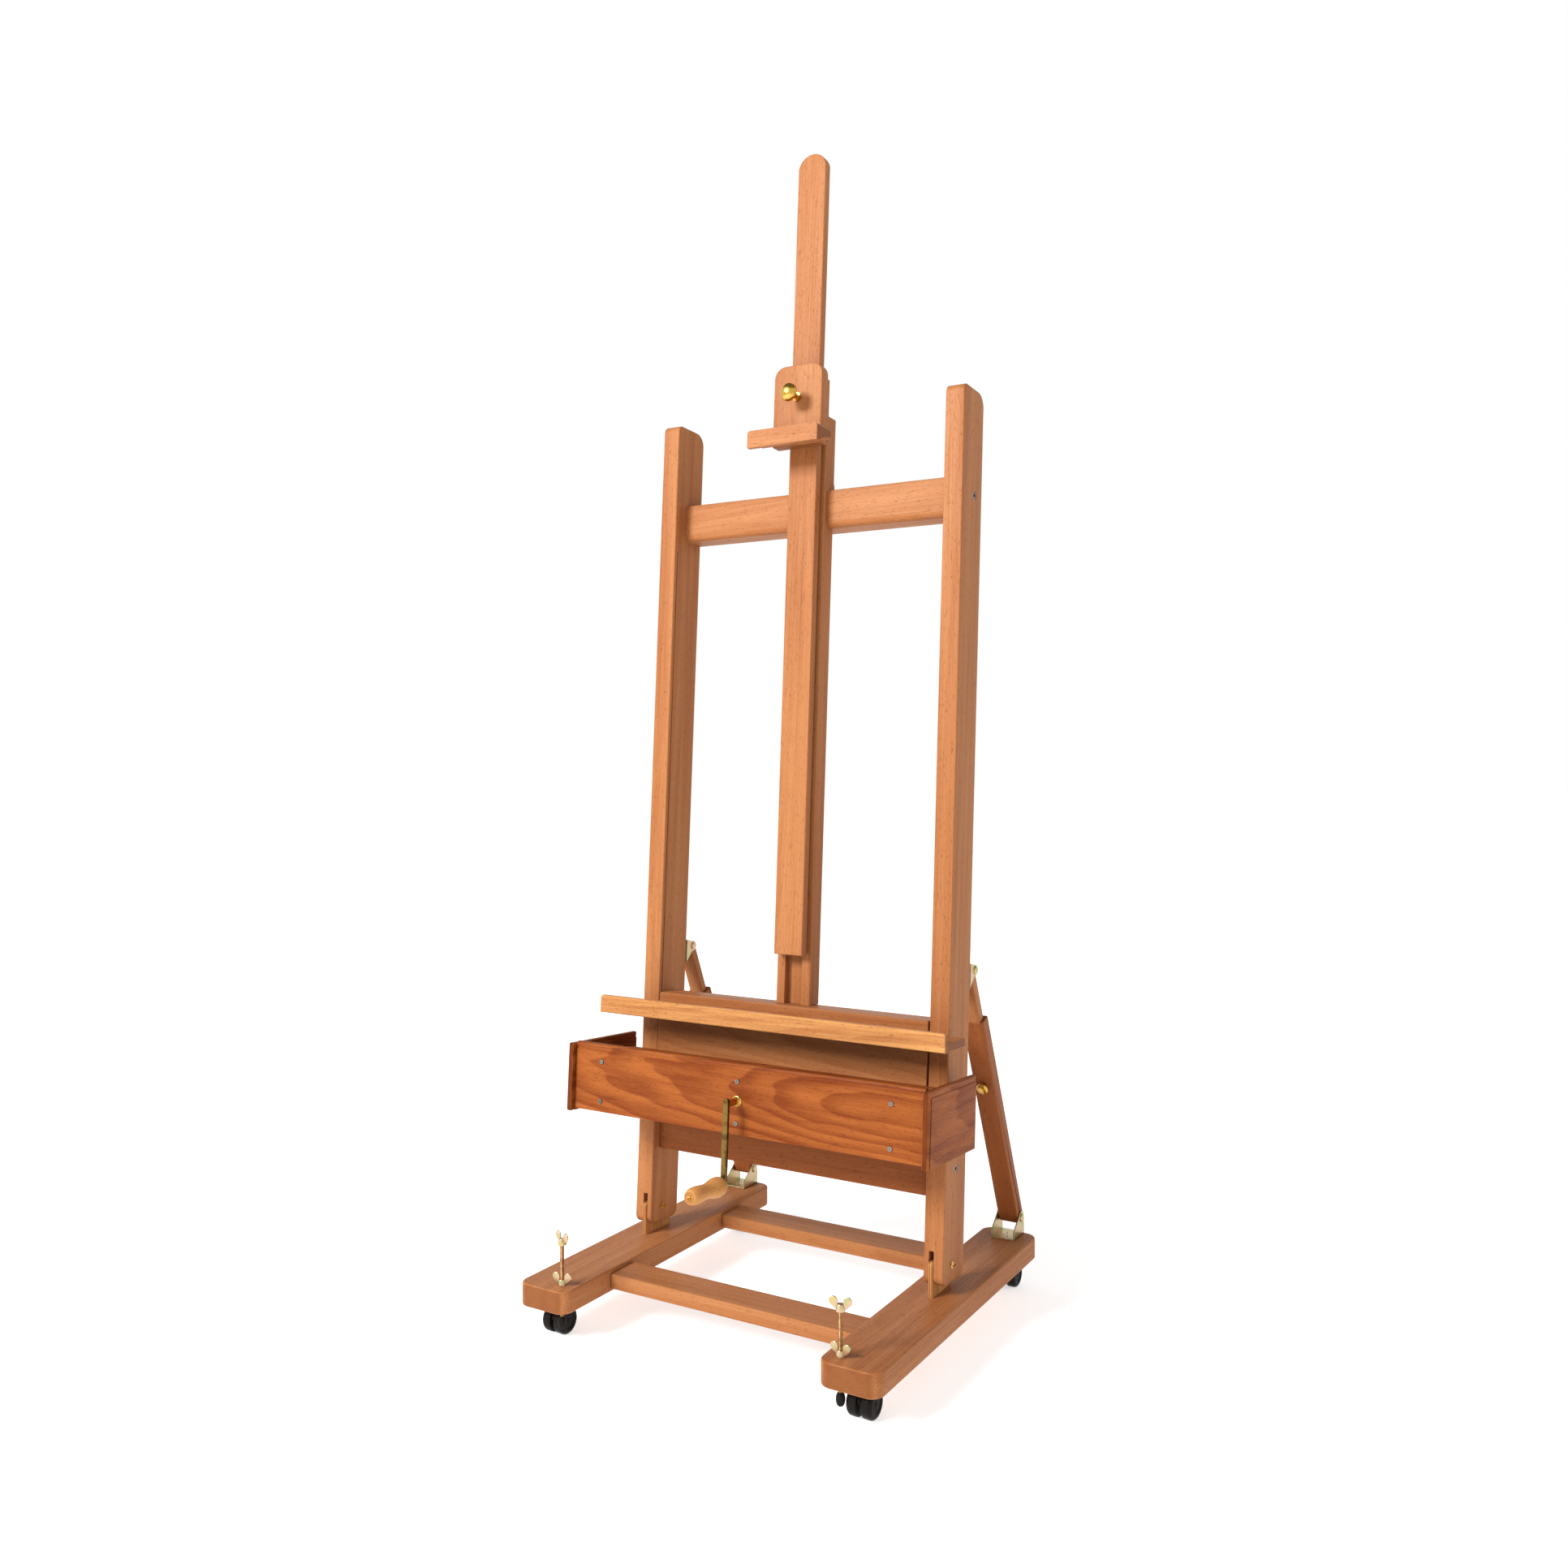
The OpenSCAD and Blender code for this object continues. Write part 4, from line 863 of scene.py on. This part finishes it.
def bush_and_crank():
    shaft = at("crank_turn", LEAN)
    spin = at("crank_grip_spin", LEAN)
    face = extent("tray_front", LEAN)[0].y
    profile = [(0, 0), (8.2, 0), (8.3, 0.8), (7.6, 1.9), (6.6, 2.3)] + dome(6.2, 3.6, base=2.3)
    collar = moved(lathe(profile, 40), shift(shaft.x, face + 0.02, shaft.z) @ turn(90, "X"))
    piece("crank_collar", collar, LEAN, "carriage", BRASS, ["crank_bush"])
    low, high = extent("crank_arm", LEAN)
    outline = rounded((low.x, low.z), (high.x, high.z), [3.9, 3.9, 2.2, 2.2], 6)
    arm = slab(outline, low.y, high.y, "xz", 1.0, 4)
    piece("crank_arm_bar", arm, LEAN, "crank", ARM_ZINC, ["crank_arm"])
    low, high = extent("crank_grip", LEAN)
    length, drawn_length = high.y - low.y, 81.2
    outline = [(0, 0), (7.2, 0), (8.4, 0.5), (10.6, 2.6), (12.4, 5.8), (13.6, 10), (14, 15), (13.8, 20),
               (12.9, 26), (11.7, 31), (10.8, 36), (10.4, 42), (10.6, 48), (11.2, 54), (11.8, 60), (12, 65),
               (11.9, 70), (11.2, 75), (9.9, 78.4), (8.6, 80.2), (7.4, 81.0), (0, drawn_length)]
    outline = [(r, h * length / drawn_length) for r, h in outline]
    grip = moved(lathe(outline, 48), shift(spin.x, high.y, spin.z) @ turn(90, "X"))
    material = timber("crank_grip", LEAN_BACK, light=GRIP_LIGHT, dark=GRIP_DARK, ring=0.0024, bold=0.35)
    piece("crank_grip_turned", grip, LEAN, "crank_grip", material, ["crank_grip"])
    head = carve(button(5.0, 0.6, 4.9, 2.6, 32), cross_recess(2.4, 3.2, 1.5, 0.9))
    head = moved(head, shift(spin.x, low.y + 0.2, spin.z) @ turn(90, "X"))
    behind = 7
    pin = rod(2.5, 0, length + behind + 1, 20)
    pin = moved(pin, shift(spin.x, high.y + behind, spin.z) @ turn(90, "X"))
    piece("grip_screw", joined(head, pin), LEAN, "crank", BRASS, ["grip_spindle"])


# ---- Masts and clamp ----


def masts():
    low, high = extent("mast_lower", LEAN)
    half, glue, floor, groove, chamfer = high.x, 35.7, 29.5, 15.1, 1.6
    glued = glue - 0.05
    channel = [(-half, glued), (-half, low.y + chamfer), (-half + chamfer, low.y), (-groove, low.y),
               (-groove, floor), (groove, floor), (groove, low.y), (half - chamfer, low.y),
               (half, low.y + chamfer), (half, glued)]
    back_board = block((-half, glue, low.z), (half, high.y, high.z), 0.7)
    whole = joined(slab(channel, low.z, high.z, "xy", 0.5), back_board)
    material = timber("mast_lower", LEAN_UP, slope=0.6)
    piece("mast_lower_channel", whole, LEAN, "carriage", material, ["mast_lower"])
    low, high = extent("mast_cleat", LEAN)
    scoop = [(low.y, low.z), (high.y, low.z), (high.y, low.z + 6)]
    scoop += arc((high.y + 5, high.z - 2), 16, 245, 182, 8) + [(low.y + 6, high.z), (low.y, high.z)]
    cleat = slab(scoop, low.x, high.x, "yz", 1.4)
    piece("mast_cleat_block", cleat, LEAN, "carriage", timber("mast_cleat", LEAN_UP), ["mast_cleat"])
    low, high = extent("mast_upper", LEAN)
    shoulder, front_back = 1633, 13.5
    rise = high.z - shoulder
    radius = (high.x ** 2 + rise ** 2) / (2 * rise)
    swing = math.degrees(math.asin(high.x / radius))
    outline = [(-high.x, low.z), (high.x, low.z)]
    outline += arc((0, high.z - radius), radius, 90 - swing, 90 + swing, 14)
    board = slab(outline, low.y, front_back, "xz", 1.6, 4)
    groove_front, groove_back, groove_depth = 2, 5, 3
    cutters = []
    for side in (1, -1):
        x0, x1 = sorted((side * (high.x - groove_depth), side * (high.x + 2)))
        cutters.append(block((x0, groove_front, low.z - 2), (x1, groove_back, shoulder), 0.2))
    board = carve(board, cutters)
    tongue_half = 14.8
    tongue = block((-tongue_half, front_back - 0.5, low.z), (tongue_half, high.y, shoulder), 0.8)
    material = timber("mast_upper", LEAN_UP, slope=0.9)
    piece("mast_upper_board", joined(board, tongue), LEAN, "upper_mast", material, ["mast_upper"])


def canvas_clamp():
    low, high = extent("clamp_plate", LEAN)
    plate_back, half = -4, 42
    outline = rounded((-half, low.z), (half, high.z), [1, 1, 18.5, 18.5], 10)
    parts = [slab(outline, low.y, plate_back, "xz", 2.0)]
    cheek, key = (24.8, 37.3, plate_back - 1, high.y), (21.9, 25.3, 2.4, 4.6)
    for side in (1, -1):
        for x0, x1, y0, y1 in (cheek, key):
            a, b = sorted((side * x0, side * x1))
            parts.append(block((a, y0, low.z + 10), (b, y1, high.z - 20), 0.6))
    material = timber("clamp_plate", LEAN_UP, slope=1.6)
    piece("clamp_plate_board", joined(*parts), LEAN, "canvas_clamp", material, ["clamp_plate"])
    low, high = extent("clamp_ledge", LEAN)
    lip, cove, rise = 7.6, 64.4, 11
    centre = (high.y, low.z + rise - cove)
    start = math.degrees(math.acos((low.y + lip - centre[0]) / cove))
    under = arc(centre, cove, start, 90, 14)
    section = [(low.y, low.z), (low.y + lip, low.z)] + under[1:] + [(high.y, high.z), (low.y, high.z)]
    ledge = slab(section, low.x, high.x, "yz", 1.4, 4)
    corner = 5.5
    cutters = []
    for side in (1, -1):
        waste = [(high.x + 3, high.z + 3), (high.x - corner, high.z + 3)]
        waste += list(reversed(arc((high.x - corner, high.z - corner), corner, 0, 90, 6)))
        waste = [(side * x, z) for x, z in waste + [(high.x + 3, high.z - corner)]]
        if side > 0:
            waste.reverse()
        cutters.append(slab(waste, low.y - 3, high.y + 3, "xz", 0.01, 1))
    ledge = carve(ledge, cutters)
    material = timber("clamp_ledge", ACROSS)
    piece("clamp_ledge_block", ledge, LEAN, "canvas_clamp", material, ["clamp_ledge"])
    low, high = extent("clamp_knob", LEAN)
    knob = at("clamp_knob_turn", LEAN)
    length = high.y - low.y
    profile = [(0, 0), (4, 0), (4, length - 36.2), (7, length - 36), (7, length - 32.6), (4, length - 32.2),
               (3.6, length - 16), (4.4, length - 13.6), (8.4, length - 12.4), (12.6, length - 11.2),
               (13.9, length - 10.0)] + dome(14, 9.4, 12, base=length - 9.4)
    turned = moved(lathe(profile, 56), shift(knob.x, high.y, knob.z) @ turn(90, "X"))
    piece("clamp_knob_turned", turned, LEAN, "clamp_knob", BRASS, ["clamp_knob"])


# ---- CAD nodes that keep their own shape ----


def finish_cad_nodes():
    finishes = {
        "tray_screws": SCREW_STEEL,
        "frame_screws": SCREW_STEEL,
        "crank_shaft": BRASS,
        "cross_shaft": STEEL,
        "lift_racks": STEEL,
        "lift_fittings": STEEL,
        "lift_pinion_left": STEEL,
        "lift_pinion_right": STEEL,
    }
    for name, material in finishes.items():
        mesh = nodes[name].data
        mesh.materials.clear()
        mesh.materials.append(material)


# ---- Studio ----


def studio():
    """White floor and sky, the sky dark overhead, with one soft key light on the left."""
    bpy.ops.mesh.primitive_plane_add(size=60, location=(0, 0, 0))
    floor = bpy.context.object
    floor.name = "floor"
    n = Nodes("floor_paint")
    grain = n.noise(n.coords.outputs["Object"], (3, 3, 3), 3.0)
    n.link(n.mix(grain, (0.84, 0.84, 0.835), (0.80, 0.80, 0.80)), n.shader.inputs["Base Color"])
    n.shader.inputs["Roughness"].default_value = 0.95
    n.shader.inputs["Specular IOR Level"].default_value = 0.1
    n.shader.inputs["Emission Color"].default_value = (1.0, 1.0, 1.0, 1.0)
    n.shader.inputs["Emission Strength"].default_value = 0.58
    floor.data.materials.append(n.material)
    world = bpy.data.worlds.new("studio")
    world.use_nodes = True
    tree = world.node_tree
    back = tree.nodes["Background"]
    coords = tree.nodes.new("ShaderNodeTexCoord")
    split = tree.nodes.new("ShaderNodeSeparateXYZ")
    fade = tree.nodes.new("ShaderNodeMapRange")
    fade.interpolation_type = "SMOOTHSTEP"
    for key, number in (("From Min", 0.56), ("From Max", 0.8), ("To Min", 1.0), ("To Max", 0.2)):
        fade.inputs[key].default_value = number
    tree.links.new(coords.outputs["Generated"], split.inputs[0])
    tree.links.new(split.outputs["Z"], fade.inputs["Value"])
    tree.links.new(fade.outputs[0], back.inputs["Strength"])
    back.inputs["Color"].default_value = (1.0, 1.0, 1.0, 1.0)
    bpy.context.scene.world = world
    light = bpy.data.lights.new("key", "AREA")
    light.size = 1.6
    light.energy = 350.0
    lamp = bpy.data.objects.new("key", light)
    lamp.location = (-1.9, -4.3, 3.3)
    aim = Vector((0, 0, 0.9)) - lamp.location
    lamp.rotation_euler = aim.to_track_quat("-Z", "Y").to_euler()
    bpy.context.scene.collection.objects.link(lamp)


def camera():
    """Seen from the right at chest height, upright lines kept upright by the shift."""
    data = bpy.data.cameras.new("camera")
    data.lens = 30.947
    data.sensor_width = 36.0
    data.shift_y = -0.01827
    seen = bpy.data.objects.new("camera", data)
    seen.location = (1.02746, -1.7549, 0.8361)
    seen.rotation_euler = (math.radians(90), 0, math.radians(30.59))
    bpy.context.scene.collection.objects.link(seen)
    bpy.context.scene.camera = seen


camera()
feet()
rails()
tongues()
pivot_bolt_heads()
foot_bracket_pieces()
levelers()
for corner in ("front_left", "front_right", "rear_left", "rear_right"):
    castor(corner)
uprights()
cross_pieces()
strut_pieces()
strut_top_bracket_pieces()
carriage_boards()
tray()
bush_and_crank()
masts()
canvas_clamp()
finish_cad_nodes()
studio()
bpy.context.scene.view_settings.view_transform = "Standard"
